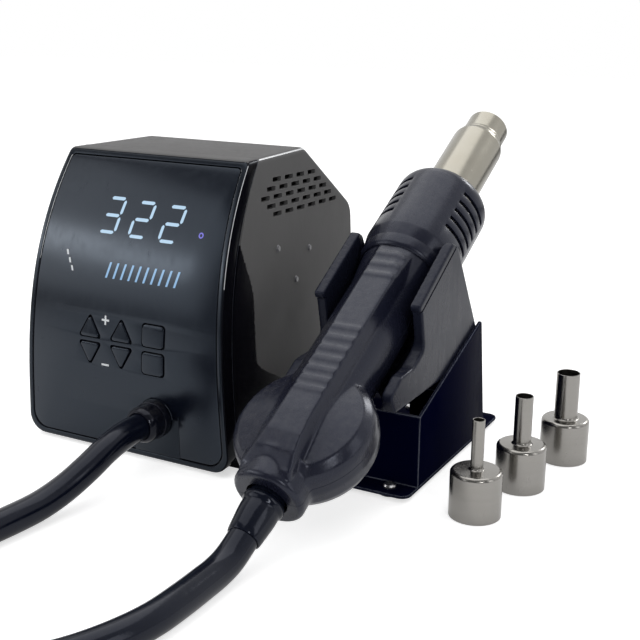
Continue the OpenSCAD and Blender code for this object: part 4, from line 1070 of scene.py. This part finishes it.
def stroke_outline(a, b, width, gap):
    """A bar with pointed ends between two points, slanted with the rest of the figure."""
    a, b = Vector(a), Vector(b)
    way = (b - a).normalized()
    across = Vector((-way.y, way.x)) * width / 2
    a, b = a + way * gap, b - way * gap
    tip = way * width / 2
    return [(p.x + SLANT * p.y, p.y) for p in (a, a + tip + across, b - tip + across, b, b - tip - across,
                                               a + tip - across)]


TILE_FRONT, TILE_BACK = 0.12, 0.6


def tile(name, outline, at):
    obj = prism(name, [(x + at[0], z + at[1]) for x, z in outline], TILE_FRONT, TILE_BACK)
    return bend_to_front(obj, 4.0)


print("strokes of a figure", len(STROKES))

# %% Lit figures and bars
FIGURES_AT = [(-19.7, 108.5), (-1.9, 107.9), (15.9, 107.5)]
figure_tiles = []
for figure, at in zip("322", FIGURES_AT):
    for stroke in FIGURES[figure]:
        ends = [(x * FIGURE_W, z * FIGURE_H) for x, z in STROKES[stroke]]
        figure_tiles.append(tile("stroke", stroke_outline(*ends, STROKE, 0.6), at))
figures = join("lit_figures", *figure_tiles)
finish_piece(figures, "lit_figures", "figures", "station", None, "display_white", STATION)

BARS_AT, BAR_PITCH, BAR_COUNT = (-11.2, 87.6), 4.45, 10
bar = [(-0.55, 0), (0.55, 0), (0.55 + 2.0, 7.4), (-0.55 + 2.0, 7.4)]
bars = [tile("bar", bar, (BARS_AT[0] + BAR_PITCH * i, BARS_AT[1])) for i in range(BAR_COUNT)]
finish_piece(join("lit_bars", *bars), "lit_bars", "bars", "station", None, "display_white", STATION)

# %% Unit ring and printed marks
UNIT_AT = (39, 112)


def unit_circle(radius, points=24):
    turns = [2 * math.pi * k / points for k in range(points)]
    return [(UNIT_AT[0] + radius * math.cos(a), UNIT_AT[1] + radius * math.sin(a)) for a in turns]


unit = prism("unit", unit_circle(1.3), TILE_FRONT, TILE_BACK)
carve(unit, prism("unit_hole", unit_circle(0.75), -1, 2))
finish_piece(bend_to_front(unit), "lit_unit", "unit", "station", None, "display_white", STATION)

PLUS_AT, MINUS_AT, DASHES_AT, DASH_STEP = (-9.6, 67.4), (-9.6, 45.2), (-36.2, 97.0), (2.0, -3.6)
dash = [(-0.35, -1.1), (0.6, -1.1), (-0.25, 1.2), (-1.2, 1.2)]
marks = [tile("plus_a", bar_outline(4.4, 0.9), PLUS_AT), tile("plus_b", bar_outline(0.9, 4.4), PLUS_AT),
         tile("minus", bar_outline(4.4, 0.9), MINUS_AT)]
marks += [tile("dash", dash, (DASHES_AT[0] + DASH_STEP[0] * i, DASHES_AT[1] + DASH_STEP[1] * i))
          for i in range(3)]
finish_piece(join("ink_marks", *marks), "ink_marks", "ink", "station", None, "smoked_panel", STATION)

# %% [markdown]
# A nylon gland holds the hose: a flange against the frame and a domed nut with shallow flats. Both
# are turned from their profile, and the flats are cut out of the nut by a ring of small rods, which
# leaves the rounded ends that a mill would.

# %% Gland
GLAND_OUT, FLATS_AT, FLAT_COUNT = -0.65, 10.1, 8


def gland_turn(name, profile):
    return placed(turned(name, profile, "y", 96), Matrix.Translation((GLAND[0], GLAND_OUT, GLAND[1])))


flange = gland_turn("gland_body", [(0, 4), (8.7, 4), (9.2, 3.8), (9.4, 3.3), (9.4, 0.3), (9.2, 0), (6.6, 0),
                                   (6.6, -16.8), (0, -16.8)])
finish_piece(flange, "gland_flange", "gland", "station", "gland_body", "gland_black", STATION)
nut = gland_turn("gland_nut", [(6.6, 4.05), (8.6, 4.05), (8.9, 4.4), (8.9, 9.2), (8.8, 10.2), (8.5, 11.2),
                               (8.0, 12.2), (7.5, 12.9), (7.1, 13.25), (6.8, 13.2), (6.6, 12.8)])
flats = []
for i in range(FLAT_COUNT):
    a = 2 * math.pi * (i + 0.5) / FLAT_COUNT
    at = (GLAND[0] + FLATS_AT * math.cos(a), GLAND_OUT, GLAND[1] + FLATS_AT * math.sin(a))
    rod = turned("flat", [(0, -1), (1.7, -1), (1.7, 8.2), (1.3, 8.8), (0, 9.2)], "y", 24)
    flats.append(placed(rod, Matrix.Translation(at)))
carve(nut, join("flats", *flats))
finish_piece(nut, "gland_cap", "gland", "station", "gland_nut", "gland_black", STATION)

# %% [markdown]
# The stand is sheet steel with two walls bent up, their front edges folded in to close the front,
# and one more flange folded in at the back. It is drawn as a thick U section and trimmed to the
# walls' outline from the side. Its edges are rounded before it is joined to the plate and the
# flanges, because the short edges at the joints would keep a later rounding too narrow to see.

# %% Walls of the stand
STAND_X, STAND_FRONT, STAND_W, SHEET, BASE_LEN, PLATE_Z = 46, -35, 56.8, 1.5, 120, 1.5
WALL_Y = (STAND_FRONT + 12.4, STAND_FRONT + 86.8, STAND_FRONT + 97.5)
WALL_H = (37.3, 64.7)
SHELF_Z = 46.4


def u_line():
    w, t, h = STAND_W / 2, SHEET, WALL_H[1] + 5
    outer = [(-w, h), *arc_corner((-w, h), (-w, 0), (w, 0), 2.5, 8),
             *arc_corner((-w, 0), (w, 0), (w, h), 2.5, 8), (w, h)]
    inner_line = [(w - t, h), *arc_corner((w - t, h), (w - t, t), (0, t), 1, 6),
                  *arc_corner((0, t), (t - w, t), (t - w, h), 1, 6), (t - w, h)]
    return [(x + STAND_X, z + PLATE_Z) for x, z in outer + inner_line]


walls = prism("walls", u_line(), STAND_FRONT, STAND_FRONT + BASE_LEN)
wall_outline = rounded([(WALL_Y[0], PLATE_Z - 1, 0), (WALL_Y[0], WALL_H[0], 2), (WALL_Y[1], WALL_H[1], 2),
                        (WALL_Y[2], PLATE_Z - 1, 0)])
carve(walls, prism("trim", wall_outline, STAND_X - 40, STAND_X + 40, "yzx"), operation="INTERSECT")
soften(walls, 0.4, 2, 40)
print("walls", len(walls.data.polygons), "faces")

# %% Plate and flanges of the stand
BACK_GAP = 18
plate = prism("plate", [(x + STAND_X, y) for x, y in rounded(
    [(-STAND_W / 2, STAND_FRONT, 5), (STAND_W / 2, STAND_FRONT, 5), (STAND_W / 2, STAND_FRONT + BASE_LEN, 5),
     (-STAND_W / 2, STAND_FRONT + BASE_LEN, 5)])], PLATE_Z, PLATE_Z + SHEET, "xyz")
soften(plate, 0.4, 2, 40)
carve(walls, plate, operation="UNION")
half_front = bar_outline(STAND_W / 2 - 0.1, SHEET)
flanges = [placed(prism("flange", half_front, PLATE_Z + 0.2, WALL_H[0], "xyz"),
                  Matrix.Translation((STAND_X + side * STAND_W / 4, WALL_Y[0] + SHEET / 2, 0)))
           for side in (-1, 1)]
back_wide, back_high = STAND_W - SHEET - BACK_GAP - 0.1, SHELF_Z - 1.4
back = placed(prism("back_flange", bar_outline(back_wide, SHEET), PLATE_Z + 0.2, back_high, "xyz"),
              Matrix.Translation((STAND_X + (STAND_W - back_wide) / 2 - 0.1, WALL_Y[1] - 0.2, 0)))
carve(walls, *flanges, back, operation="UNION")
finish_piece(walls, "stand_sheet", "stand", "station", "stand_bracket", "stand_paint", BENCH, smooth=35)

# %% [markdown]
# The hand-piece is moulded in two halves. The round blower housing, the grip, the raised finger
# panel and the boss at the tail run into each other in soft curves, which separate solids can't
# give, and which would be slow to model point by point. So the raw forms are melted into one skin by
# a voxel remesh and smoothed, then the skin is parted at the seam and each half gets its wall.

# %% Finger panel and its ribs
GRIP_R, BAND_R, PANEL_N, BULGE_R, BULGE_S, GRIP_END = 17.7, 20.1, 20.0, 31.2, 36.0, 137.0
BOSS_R, TAIL_HOLE_R = 16.0, 9.3
PANEL_LEFT, PANEL_RIGHT = 5.0, 10.2
RIBS = [(128.5, 5, 0.4), (121.5, 5, 0.4), (114.5, 5, 0.4), (79.5, 4.4, 0.35), (73, 4.6, 0.35),
        (66.6, 4.6, 0.35), (60.4, 4.6, 0.35), (54.4, 4.6, 0.3), (48.6, 4.6, 0.3), (43, 4.6, 0.3)]
RIB_LONG = 2.6


def panel_limit(more):
    """Keeps the panel flush with the flare at the grip's end."""
    return turned("limit", [(0, 0), (22.7 + more, 0), (22.7 + more, 100), (20.25 + more, GRIP_END),
                            (20.25 + more, GRIP_END + 2), (0, GRIP_END + 2)], steps=96)


def finger_panel():
    section = [(-12.6, 0), (-11.8, 4.4 - GRIP_R), (-PANEL_LEFT, -PANEL_N), (PANEL_RIGHT, -PANEL_N),
               (12.4, 4 - GRIP_R), (12.8, 0)]
    side = [(1, 4), (-12, 4), (-14.6, 6), (2.6 - PANEL_N, 13), (0.9 - PANEL_N, 22), (-PANEL_N, 33),
            (-PANEL_N, GRIP_END + 2), (1, GRIP_END + 2)]
    panel = prism("panel_front", section, 0, GRIP_END + 2, "xyz")
    return carve(panel, prism("panel_keep", side, -20, 20, "yzx"), panel_limit(0), operation="INTERSECT")


def finger_ribs():
    edge, low = PANEL_RIGHT - 0.3, -PANEL_N + 3
    ribs = [prism("rib", [(-left, -PANEL_N - high), (edge, -PANEL_N - high), (edge, low), (-left, low)],
                  at, at + RIB_LONG, "xyz") for at, left, high in RIBS]
    return carve(join("ribs", *ribs), panel_limit(0.35), operation="INTERSECT")


print("finger panel", PANEL_LEFT + PANEL_RIGHT, "mm wide with", len(RIBS), "ribs")

# %% Hand-piece skin
def raw_grip():
    """The raw forms run one voxel past the grip's end, where the skin is cut off square."""
    tube = turned("tube", [(0, BULGE_S), (GRIP_R, BULGE_S), (GRIP_R, GRIP_END - 19), (BAND_R, GRIP_END),
                           (BAND_R, GRIP_END + 2), (0, GRIP_END + 2)], steps=96)
    dome = [(0, -17.5), (BULGE_R - 8, -17), (BULGE_R - 4, -14.6), (BULGE_R - 1.2, -10), (BULGE_R, -4),
            (BULGE_R, 3), (BULGE_R - 0.8, 6), (BULGE_R - 4.1, 9.7), (0, 17)]
    bulge = placed(turned("bulge", dome, "y", 96), Matrix.Translation((0, 0, BULGE_S)))
    boss = turned("boss", [(0, 0), (BOSS_R - 1.4, 0), (BOSS_R, 1.6), (BOSS_R, 9.7), (BOSS_R + 2, 14),
                           (0, 14)], steps=72)
    return join("raw_grip", tube, finger_panel(), bulge, boss, finger_ribs())


def melt(obj, voxel, rounds):
    remesh = obj.modifiers.new("melt", "REMESH")
    remesh.mode = "VOXEL"
    remesh.voxel_size = voxel
    smooth = obj.modifiers.new("smooth", "SMOOTH")
    smooth.factor = 0.5
    smooth.iterations = rounds
    return settle(obj)


skin = melt(raw_grip(), 0.7, 6)
print("skin faces", len(skin.data.polygons))

# %% [markdown]
# The two halves meet in a seam that shows as a thin line round the hand-piece. Each is the same skin
# cut by a plane a tenth of a millimetre from the middle, with a wall grown inward. The rear half has
# the sockets of its screws and the air inlet under the blower.

# %% Parting the halves
SEAM_GAP = 0.12


def half_of(skin, name, front, wall=2.0):
    """One half of the skin with a wall inside."""
    obj = bpy.data.objects.new(name, skin.data.copy())
    bpy.context.scene.collection.objects.link(obj)
    form = bmesh.new()
    form.from_mesh(obj.data)
    sign = -1 if front else 1
    for point, outward in (((0, sign * SEAM_GAP, 0), (0, -sign, 0)), ((0, 0, GRIP_END - 0.1), (0, 0, 1))):
        everything = form.verts[:] + form.edges[:] + form.faces[:]
        bmesh.ops.bisect_plane(form, geom=everything, dist=1e-4, plane_co=point, plane_no=outward,
                               clear_outer=True)
    form.to_mesh(obj.data)
    form.free()
    wall_maker = obj.modifiers.new("wall", "SOLIDIFY")
    wall_maker.thickness = wall
    wall_maker.offset = -1
    settle(obj)
    return obj


front_half = half_of(skin, "grip_front_half", True)
rear_half = half_of(skin, "grip_rear_half", False)
bpy.data.objects.remove(skin)
print("halves", len(front_half.data.polygons), "and", len(rear_half.data.polygons), "faces")

# %% Openings of the halves
tail_hole = [(0, -2), (TAIL_HOLE_R + 0.3, -2), (TAIL_HOLE_R, 0.6), (TAIL_HOLE_R, 6), (0, 6)]
carve(front_half, turned("tail_hole", tail_hole, steps=64))
SCREWS, SOCKET_R, INTAKE_R = [(-13.2, 18.8), (13.2, 18.8), (-11.2, 70), (11.2, 70)], 2.7, 15.1
sockets = [placed(turned("socket", [(0, -9), (SOCKET_R, -9), (SOCKET_R, -30), (0, -30)], "y", 32),
                  Matrix.Translation((x, 0, along))) for x, along in SCREWS]
intake = placed(turned("intake", [(0, -10), (INTAKE_R, -10), (INTAKE_R, -30), (0, -30)], "y", 64),
                Matrix.Translation((0, 0, BULGE_S)))
carve(rear_half, turned("tail_hole", tail_hole, steps=64), intake, *sockets)
for half, name, node in ((front_half, "grip_front_half", "grip_front"),
                         (rear_half, "grip_rear_half", "grip_rear")):
    finish_piece(half, name, "grip", "hand_piece", node, "grip_charcoal", HAND, smooth=50)

# %% [markdown]
# The collar is a turned form with three groups of five slots. It is drawn as a grid round the axis
# with lines along every slot's edges, the slot squares are left out, and a wall is added behind. That
# keeps its faces even, where fifteen cuts with Booleans would leave long thin ones.

# %% Lines of the collar
COLLAR_FROM, COLLAR_TO, COLLAR_R, COLLAR_DOME, BARREL_R = 137.05, 193.5, 21.6, 5.6, 13.5
SLOT_FROM, SLOT_SWEEP, SLOT_HIGH, SLOT_PITCH, COLLAR_WALL = -41, 50, 2.1, 6, 1.9
slot_lows = [COLLAR_TO - 11.5 - SLOT_PITCH * i for i in range(5)]


def collar_outline():
    """Outer line from the grip's end over the shoulder and the body to the rim at the barrel."""
    shoulder = [(BAND_R - 0.6, 0), (BAND_R - 0.15, 0.2), (BAND_R, 0.7), (BAND_R, 5.4), (BAND_R + 0.1, 6.0),
                (BAND_R + 0.5, 6.9), (COLLAR_R - 0.3, 10.9), (COLLAR_R - 0.06, 11.7), (COLLAR_R, 12.4)]
    line = [(radius, COLLAR_FROM + up) for radius, up in shoulder]
    levels = sorted([z for low in slot_lows for z in (low, low + SLOT_HIGH)])
    line += [(COLLAR_R, z) for z in levels if z > COLLAR_FROM + 13]
    for i in range(11):
        a = math.radians(9 * i)
        line.append((COLLAR_R - COLLAR_DOME * (1 - math.cos(a)), COLLAR_TO - COLLAR_DOME * (1 - math.sin(a))))
    return line + [(BARREL_R + 2.2, COLLAR_TO), (BARREL_R + 1.9, COLLAR_TO - 0.3)]


SLOT_PARTS, BAR_PARTS = 12, 16


def collar_angles():
    angles = []
    for first in (SLOT_FROM, SLOT_FROM + 120, SLOT_FROM + 240):
        angles += [first + SLOT_SWEEP * i / SLOT_PARTS for i in range(SLOT_PARTS)]
        angles += [first + SLOT_SWEEP + (120 - SLOT_SWEEP) * i / BAR_PARTS for i in range(BAR_PARTS)]
    return angles


print("collar grid", len(collar_outline()), "by", len(collar_angles()))

# %% Slotted collar
line, angles = collar_outline(), collar_angles()
points = [(r * math.cos(math.radians(a)), r * math.sin(math.radians(a)), z) for r, z in line for a in angles]
faces, n = [], len(angles)
for j in range(len(line) - 1):
    in_slot = any(abs(line[j][1] - low) < 0.01 for low in slot_lows) and abs(line[j][0] - COLLAR_R) < 0.01
    for i in range(n):
        in_group = i % (SLOT_PARTS + BAR_PARTS) < SLOT_PARTS
        if not (in_slot and in_group):
            faces.append([j * n + i, j * n + (i + 1) % n, (j + 1) * n + (i + 1) % n, (j + 1) * n + i])
collar = mesh_object("slotted_collar", points, faces)
solid = collar.modifiers.new("wall", "SOLIDIFY")
solid.thickness = COLLAR_WALL
solid.offset = -1 if collar.data.polygons[0].normal.dot(Vector(collar.data.polygons[0].center)) > 0 else 1
settle(collar)
soften(collar, 0.28, 2, 50)
finish_piece(collar, "slotted_collar", "grip", "hand_piece", "vent_collar", "grip_charcoal", HAND, smooth=45)

# %% [markdown]
# The barrel is a thin tube drawn in to a narrow mouth, on which the nozzles slip. It is turned from
# one closed profile that runs up its outside and down its inside, so it has a real wall and shows its
# hollow mouth, and it stands on a flange inside the collar.

# %% Barrel
MOUTH_R, HAND_LEN, BARREL_FROM = 11.0, 257.0, 144.4
step = HAND_LEN - 17
outer = [(BARREL_R, BARREL_FROM), (BARREL_R, step - 0.6), (BARREL_R - 0.1, step + 0.4),
         (BARREL_R - 0.5, step + 1.4), (BARREL_R - 1.3, step + 2.4), (MOUTH_R + 1.2, step + 3.8),
         (MOUTH_R + 0.35, step + 4.8), (MOUTH_R + 0.05, step + 5.8), (MOUTH_R, step + 6.6),
         (MOUTH_R, HAND_LEN - 0.15), (MOUTH_R - 0.15, HAND_LEN)]
inner_wall = [(MOUTH_R - 0.5, HAND_LEN), (MOUTH_R - 0.5, step + 6.4), (MOUTH_R + 0.6, step + 3.8),
              (BARREL_R - 1.0, step + 1.2), (BARREL_R - 0.5, step - 0.8), (BARREL_R - 0.5, BARREL_FROM),
              (8, BARREL_FROM), (8, BARREL_FROM - 1.5), (18.0, BARREL_FROM - 1.5), (18.0, BARREL_FROM)]
barrel = turned("heater_barrel", outer + inner_wall, steps=128)
finish_piece(barrel, "steel_barrel", "barrel", "hand_piece", "heater_barrel", "barrel_steel", HAND, smooth=40)

# %% [markdown]
# The three nozzles are the same spun skirt with tubes of three widths. Each is one closed profile as
# well, with the sheet's rim rounded by a tenth of a millimetre, which is what catches the light.

# %% Nozzles
NOZZLES = {"nozzle_small": (104.5, -29.5, 2.75), "nozzle_medium": (112, 9, 4.1),
           "nozzle_large": (120, 51.5, 5.6)}
SKIRT_H, NOZZLE_H, NOZZLE_T, SKIRT_IN, RIM = 21.5, 44.5, 0.45, 11.1, 0.12


def nozzle_line(tube):
    r1, t = SKIRT_IN + NOZZLE_T, NOZZLE_T
    line = [(SKIRT_IN, RIM), (SKIRT_IN + RIM, 0), (r1 - RIM, 0), (r1, RIM)]
    line += arc_corner((r1, 0), (r1, SKIRT_H), (tube, SKIRT_H), 1.9, 10)
    line += arc_corner((r1, SKIRT_H), (tube, SKIRT_H), (tube, NOZZLE_H), 1.2, 6)
    line += [(tube, NOZZLE_H - RIM), (tube - RIM, NOZZLE_H), (tube - t + RIM, NOZZLE_H),
             (tube - t, NOZZLE_H - RIM)]
    line += arc_corner((tube - t, NOZZLE_H), (tube - t, SKIRT_H - t), (SKIRT_IN, SKIRT_H - t), 1.2 + t, 6)
    line += arc_corner((tube - t, SKIRT_H - t), (SKIRT_IN, SKIRT_H - t), (SKIRT_IN, 0), 1.9 - t, 8)
    return line


for name, (x, y, tube) in NOZZLES.items():
    standing = BENCH @ Matrix.Translation((x, y, 0))
    piece = turned(name, nozzle_line(tube), steps=112)
    finish_piece(piece, name + "_sheet", "nozzle", name, name, "nozzle_steel", standing)

# %% [markdown]
# A rubber sleeve keeps the hose from kinking where it leaves the grip. It has a bead at the grip and
# thins toward the hose, and its flange sits inside the two halves.

# %% Hose relief
relief_line = [
    (0, 6.9), (11.0, 6.9), (11.2, 6.6), (11.2, 4.4), (11.0, 4.15), (8.2, 4.15), (8.0, 3.9), (8.0, -0.8),
    (8.5, -1.2), (8.95, -1.8), (9.15, -2.6), (9.15, -3.6), (8.95, -4.4), (8.5, -5.1), (8.35, -5.6),
    (8.4, -6.6), (8.35, -9.0), (8.15, -11.5), (7.9, -14.0), (7.6, -17.0), (7.35, -19.2), (7.1, -19.9),
    (6.7, -20.0), (6.4, -19.8), (0, -19.4)]
relief = turned("relief_sleeve", relief_line, steps=64)
finish_piece(relief, "relief_sleeve", "hose", "hand_piece", "hose_relief", "hose_rubber", HAND)

# %% [markdown]
# The cradle is a thick moulding between the walls of the stand: two tall cheeks with a lip along
# their top edge, a scoop at the thumb's side and a trough between them. It is cut out of a block with
# the same outlines as in the CAD part, then melted a little, as the grip was, to round its edges.
# The groove under each lip is cut last and stays crisp.

# %% Outlines of the cradle
CHEEK_IN, CHEEK_OUT, FLOOR_N = 21.6, 26.5, 19.05
CRADLE_HIGH, EAR_LOW, EAR_N, LIP_N = 149.5, 98, 17, 3.2
CRADLE_LOW = BULGE_S + math.sqrt((BULGE_R + 0.3) ** 2 - (CHEEK_IN - 2.53) ** 2)
cheek = rounded([
    (60, CRADLE_LOW, 0), (-2, CRADLE_LOW, 2.5), (-2, CRADLE_LOW + 12, 4), (4, EAR_LOW - 13, 9),
    (5, EAR_LOW - 1, 4), (LIP_N - EAR_N, EAR_LOW + 4.8, 0.6), (LIP_N - EAR_N, EAR_LOW + 3.4, 0.4),
    (-EAR_N, EAR_LOW + 3.6, 1), (-EAR_N - 0.4, CRADLE_HIGH - 5, 2), (5 - EAR_N, CRADLE_HIGH - 0.8, 2),
    (60, CRADLE_HIGH + 2, 0)])
middle = FLOOR_N - CHEEK_IN
turns = [math.radians(a) for a in range(0, 181, 4)]
trough = [(CHEEK_IN, -60), *((CHEEK_IN * math.cos(a), middle + CHEEK_IN * math.sin(a)) for a in turns),
          (-CHEEK_IN, -60)]
mouth = [(-CHEEK_IN, 142), (CHEEK_IN, 142), (CHEEK_IN + 3, 154), (-CHEEK_IN - 3, 154)]
room = [(0, GRIP_END - 19), (GRIP_R + 0.5, GRIP_END - 19), (BAND_R + 0.5, GRIP_END),
        (BAND_R + 0.5, GRIP_END + 5.7), (COLLAR_R + 2.4, GRIP_END + 13.7), (COLLAR_R + 2.4, 200), (0, 200)]
bulge_room = [(0, -18), (BULGE_R - 7.5, -17.5), (BULGE_R - 3.5, -15), (BULGE_R - 0.7, -10.2),
              (BULGE_R + 0.5, -4), (BULGE_R + 0.5, 3), (BULGE_R - 0.3, 6.2), (BULGE_R - 3.6, 10.1), (0, 17.5)]
print("cradle from", round(CRADLE_LOW, 1), "to", CRADLE_HIGH, "mm along the grip")

# %% Cradle
cradle = placed(prism("cradle", cheek, -CHEEK_OUT, CHEEK_OUT, "yzx"), CRADLE_MM)
cuts = [placed(prism("trough", trough, 0, 200, "xyz"), CRADLE_MM),
        placed(prism("mouth", mouth, -60, 0, "xzy"), CRADLE_MM),
        placed(prism("channel", bar_outline(2 * CHEEK_IN, 90), 0, 200, "xyz"),
               Matrix.Translation((0, FLOOR_N + 48, 0)), CRADLE_MM),
        placed(turned("collar_room", room), HAND_MM),
        placed(turned("bulge_room", bulge_room, "y"), Matrix.Translation((0, 0, BULGE_S)), HAND_MM),
        placed(prism("under", bar_outline(100, 400), -1, SHELF_Z, "xyz"),
               Matrix.Translation((STAND_X, 0, 0)))]
carve(cradle, *cuts)
melt(cradle, 0.6, 3)
print("melted cradle", len(cradle.data.polygons), "faces")

# %% Grooves, screw holes and magnet seat
GROOVE_W, GROOVE_H, PILOT_R, MAGNET_R, MAGNET_AT = 1.9, 1.1, 1.35, 4.1, 112
SHELF_Y = (WALL_Y[0] + 28.6, WALL_Y[1] - 1)
groove_n = LIP_N - EAR_N
grooves = [placed(prism("groove", bar_outline(GROOVE_W, 60), groove_n, groove_n + GROOVE_H, "xzy"),
                  Matrix.Translation((side * (CHEEK_OUT + 0.05), 0, EAR_LOW + 30)), CRADLE_MM)
           for side in (-1, 1)]
pilots = [placed(turned("pilot", [(0, -5), (PILOT_R, -5), (PILOT_R, 9), (0, 9)], steps=24),
                 Matrix.Translation((STAND_X + side * (CHEEK_IN + CHEEK_OUT) / 2, y, SHELF_Z)))
          for side in (-1, 1) for y in (SHELF_Y[0] + 9, SHELF_Y[1] - 8)]
socket = placed(turned("magnet_seat", [(0, 0), (MAGNET_R, 0), (MAGNET_R, 30), (0, 30)], steps=48),
                Matrix.Rotation(-math.pi / 2, 4, "X"), Matrix.Translation((0, FLOOR_N + 0.95, MAGNET_AT)),
                CRADLE_MM)
carve(cradle, *grooves, *pilots, socket)
finish_piece(cradle, "moulded_cradle", "cradle", "station", "cradle", "cradle_charcoal", BENCH, smooth=45)

# %% [markdown]
# The CAD part's own solids carry what is already right there, and the inside of both housings. They
# only need their finish.

# %% Carried over
DRESS = {
    "stand": ["cradle_shelf"], "screw": ["case_screws", "cradle_screws", "stand_screws", "grip_screws"],
    "foot": ["rubber_feet", "stand_feet"], "pip": ["side_pips"], "gland": ["gland_locknut", "impeller"],
    "board": ["control_board", "power_board", "hand_board"], "display": ["display_module"],
    "winding": ["transformer"], "fins": ["heatsink"], "inlet": ["mains_inlet", "rocker_frame", "rocker"],
    "grip": ["intake_grille"], "plated": ["inlet_pins", "cradle_magnet", "blower_motor", "impeller_shaft"],
    "mica": ["mica_tube"], "ceramic": ["heater_core"], "wire": ["heater_coil"], "glass": ["reed_switch"],
}
for finish, names in DRESS.items():
    for name in names:
        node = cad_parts[name]
        node.data.materials.clear()
        node.data.materials.append(FINISH[finish])
print("carried over", sum(len(names) for names in DRESS.values()), "nodes")

# %% [markdown]
# The room is the world's even light. Light Path tells which ray asks: the camera and rays through
# glass see a white backdrop, mirrored rays see it white behind the object and dim behind the camera,
# as in a dark studio, and all others get a moderate fill. Dark glossy plastics would look grey in a
# room that is white all round.

# %% Room
ROOM_BEHIND, ROOM_LIGHT = 0.2, 0.5


def studio_world():
    world = bpy.data.worlds.new("studio")
    bpy.context.scene.world = world
    world.use_nodes = True
    tree = world.node_tree
    background = tree.nodes["Background"]
    path = add(tree, "ShaderNodeLightPath")
    way = add(tree, "ShaderNodeSeparateXYZ", [(0, add(tree, "ShaderNodeTexCoord").outputs["Generated"])])
    backdrop = add(tree, "ShaderNodeMapRange", [
        ("Value", way.outputs["Y"]), ("From Min", -0.3), ("From Max", 0.5), ("To Min", ROOM_BEHIND),
        ("To Max", 1.0)]).outputs[0]
    mirrored = maths(tree, "MULTIPLY", path.outputs["Is Glossy Ray"], backdrop)
    seen = maths(tree, "MAXIMUM", path.outputs["Is Camera Ray"],
                 maths(tree, "MAXIMUM", mirrored, path.outputs["Is Transmission Ray"]))
    plain = maths(tree, "MULTIPLY", maths(tree, "SUBTRACT", 1.0, path.outputs["Is Glossy Ray"]), ROOM_LIGHT)
    tree.links.new(maths(tree, "MAXIMUM", seen, plain), background.inputs["Strength"])
    background.inputs["Color"].default_value = (1, 1, 1, 1)


studio_world()
print("room light", ROOM_LIGHT)

# %% [markdown]
# The floor is one large square that glows toward the camera, less near the object, so that it takes
# shadows there and ends in the white of the backdrop. In mirrors its glow and its own colour fade
# with distance, because dark upright faces mirror the far floor and would turn grey.

# %% Floor
FLOOR_NEAR, FLOOR_FAR = 350.0, 1400.0
TONE_NEAR, TONE_FAR = (0.8, 0.8, 0.8), (0.25, 0.25, 0.25)
GLOW_NEAR, GLOW_FAR, MIRRORED_GLOW = 0.6, 1.0, 0.25


def studio_floor():
    floor = mesh_object("studio_floor", [(-3, -3, 0), (3, -3, 0), (3, 3, 0), (-3, 3, 0)], [[0, 1, 2, 3]])
    floor.location.z = -0.0002
    material = bpy.data.materials.new("pale_floor")
    material.use_nodes = True
    tree = material.node_tree
    shader = tree.nodes["Principled BSDF"]
    shader.inputs["Roughness"].default_value = 0.9
    shader.inputs["Specular IOR Level"].default_value = 0.0
    away = add(tree, "ShaderNodeVectorMath", [(0, place(tree))], operation="LENGTH").outputs["Value"]
    far = add(tree, "ShaderNodeMapRange", [("Value", away), ("From Min", FLOOR_NEAR),
                                           ("From Max", FLOOR_FAR)]).outputs[0]
    tree.links.new(mix(tree, far, TONE_NEAR, TONE_FAR), shader.inputs["Base Color"])
    path = add(tree, "ShaderNodeLightPath")
    direct = maths(tree, "MULTIPLY", path.outputs["Is Camera Ray"],
                   shift_range(tree, far, GLOW_NEAR, GLOW_FAR))
    mirrored = maths(tree, "MAXIMUM", path.outputs["Is Glossy Ray"], path.outputs["Is Transmission Ray"])
    mirrored = maths(tree, "MULTIPLY", mirrored, shift_range(tree, far, MIRRORED_GLOW, 0.0))
    shader.inputs["Emission Color"].default_value = (1, 1, 1, 1)
    tree.links.new(maths(tree, "ADD", direct, mirrored), shader.inputs["Emission Strength"])
    floor.data.materials.append(material)
    floor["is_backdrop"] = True


studio_floor()
print("floor fades from", FLOOR_NEAR, "to", FLOOR_FAR, "mm")

# %% [markdown]
# A broad lamp overhead gives the soft shadow. A wide low one at the front left, with a brighter strip
# in it, draws the pale band over the dark panel. Two at the right model the steel tubes, and one high
# behind the object lights the edges that face up.

# %% Lamps
def lamp(name, at, target, width, height, watts):
    data = bpy.data.lights.new(name, "AREA")
    data.shape = "RECTANGLE"
    data.size, data.size_y, data.energy = width, height, watts
    obj = bpy.data.objects.new(name, data)
    bpy.context.scene.collection.objects.link(obj)
    obj.location = at
    obj.rotation_euler = (Vector(target) - Vector(at)).to_track_quat("-Z", "Y").to_euler()
    return obj


lamp("overhead", (-0.2, 0.1, 1.2), (0, 0, 0.05), 1.4, 1.4, 8.0)
lamp("soft_left", (-1.04, -0.96, 0.62), (-0.08, 0, 0.08), 1.3, 1.1, 5.6)
lamp("strip_left", (-1.1, -0.96, 0.5), (-0.08, 0, 0.08), 0.8, 0.2, 2.2)
lamp("right", (1.1, -0.1, 0.5), (0.05, 0, 0.1), 0.3, 0.7, 1.2)
lamp("rim", (0.5, 1.3, 0.85), (0, 0, 0.1), 0.5, 0.3, 4.5)
lamp("front_right", (0.85, -0.8, 0.52), (0.05, 0, 0.08), 0.16, 0.4, 2.0)
bpy.context.scene.view_settings.view_transform = "Standard"

# %% [markdown]
# The box round everything visible is measured again here and printed, as the CAD part's own was at
# the start, so that a piece that has grown out of place shows at once. Each piece was named when it
# was finished.

# %% Sizes
visual_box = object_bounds()
print("visual box", [round(v, 4) for corner in visual_box for v in corner], len(made_pieces), "pieces")
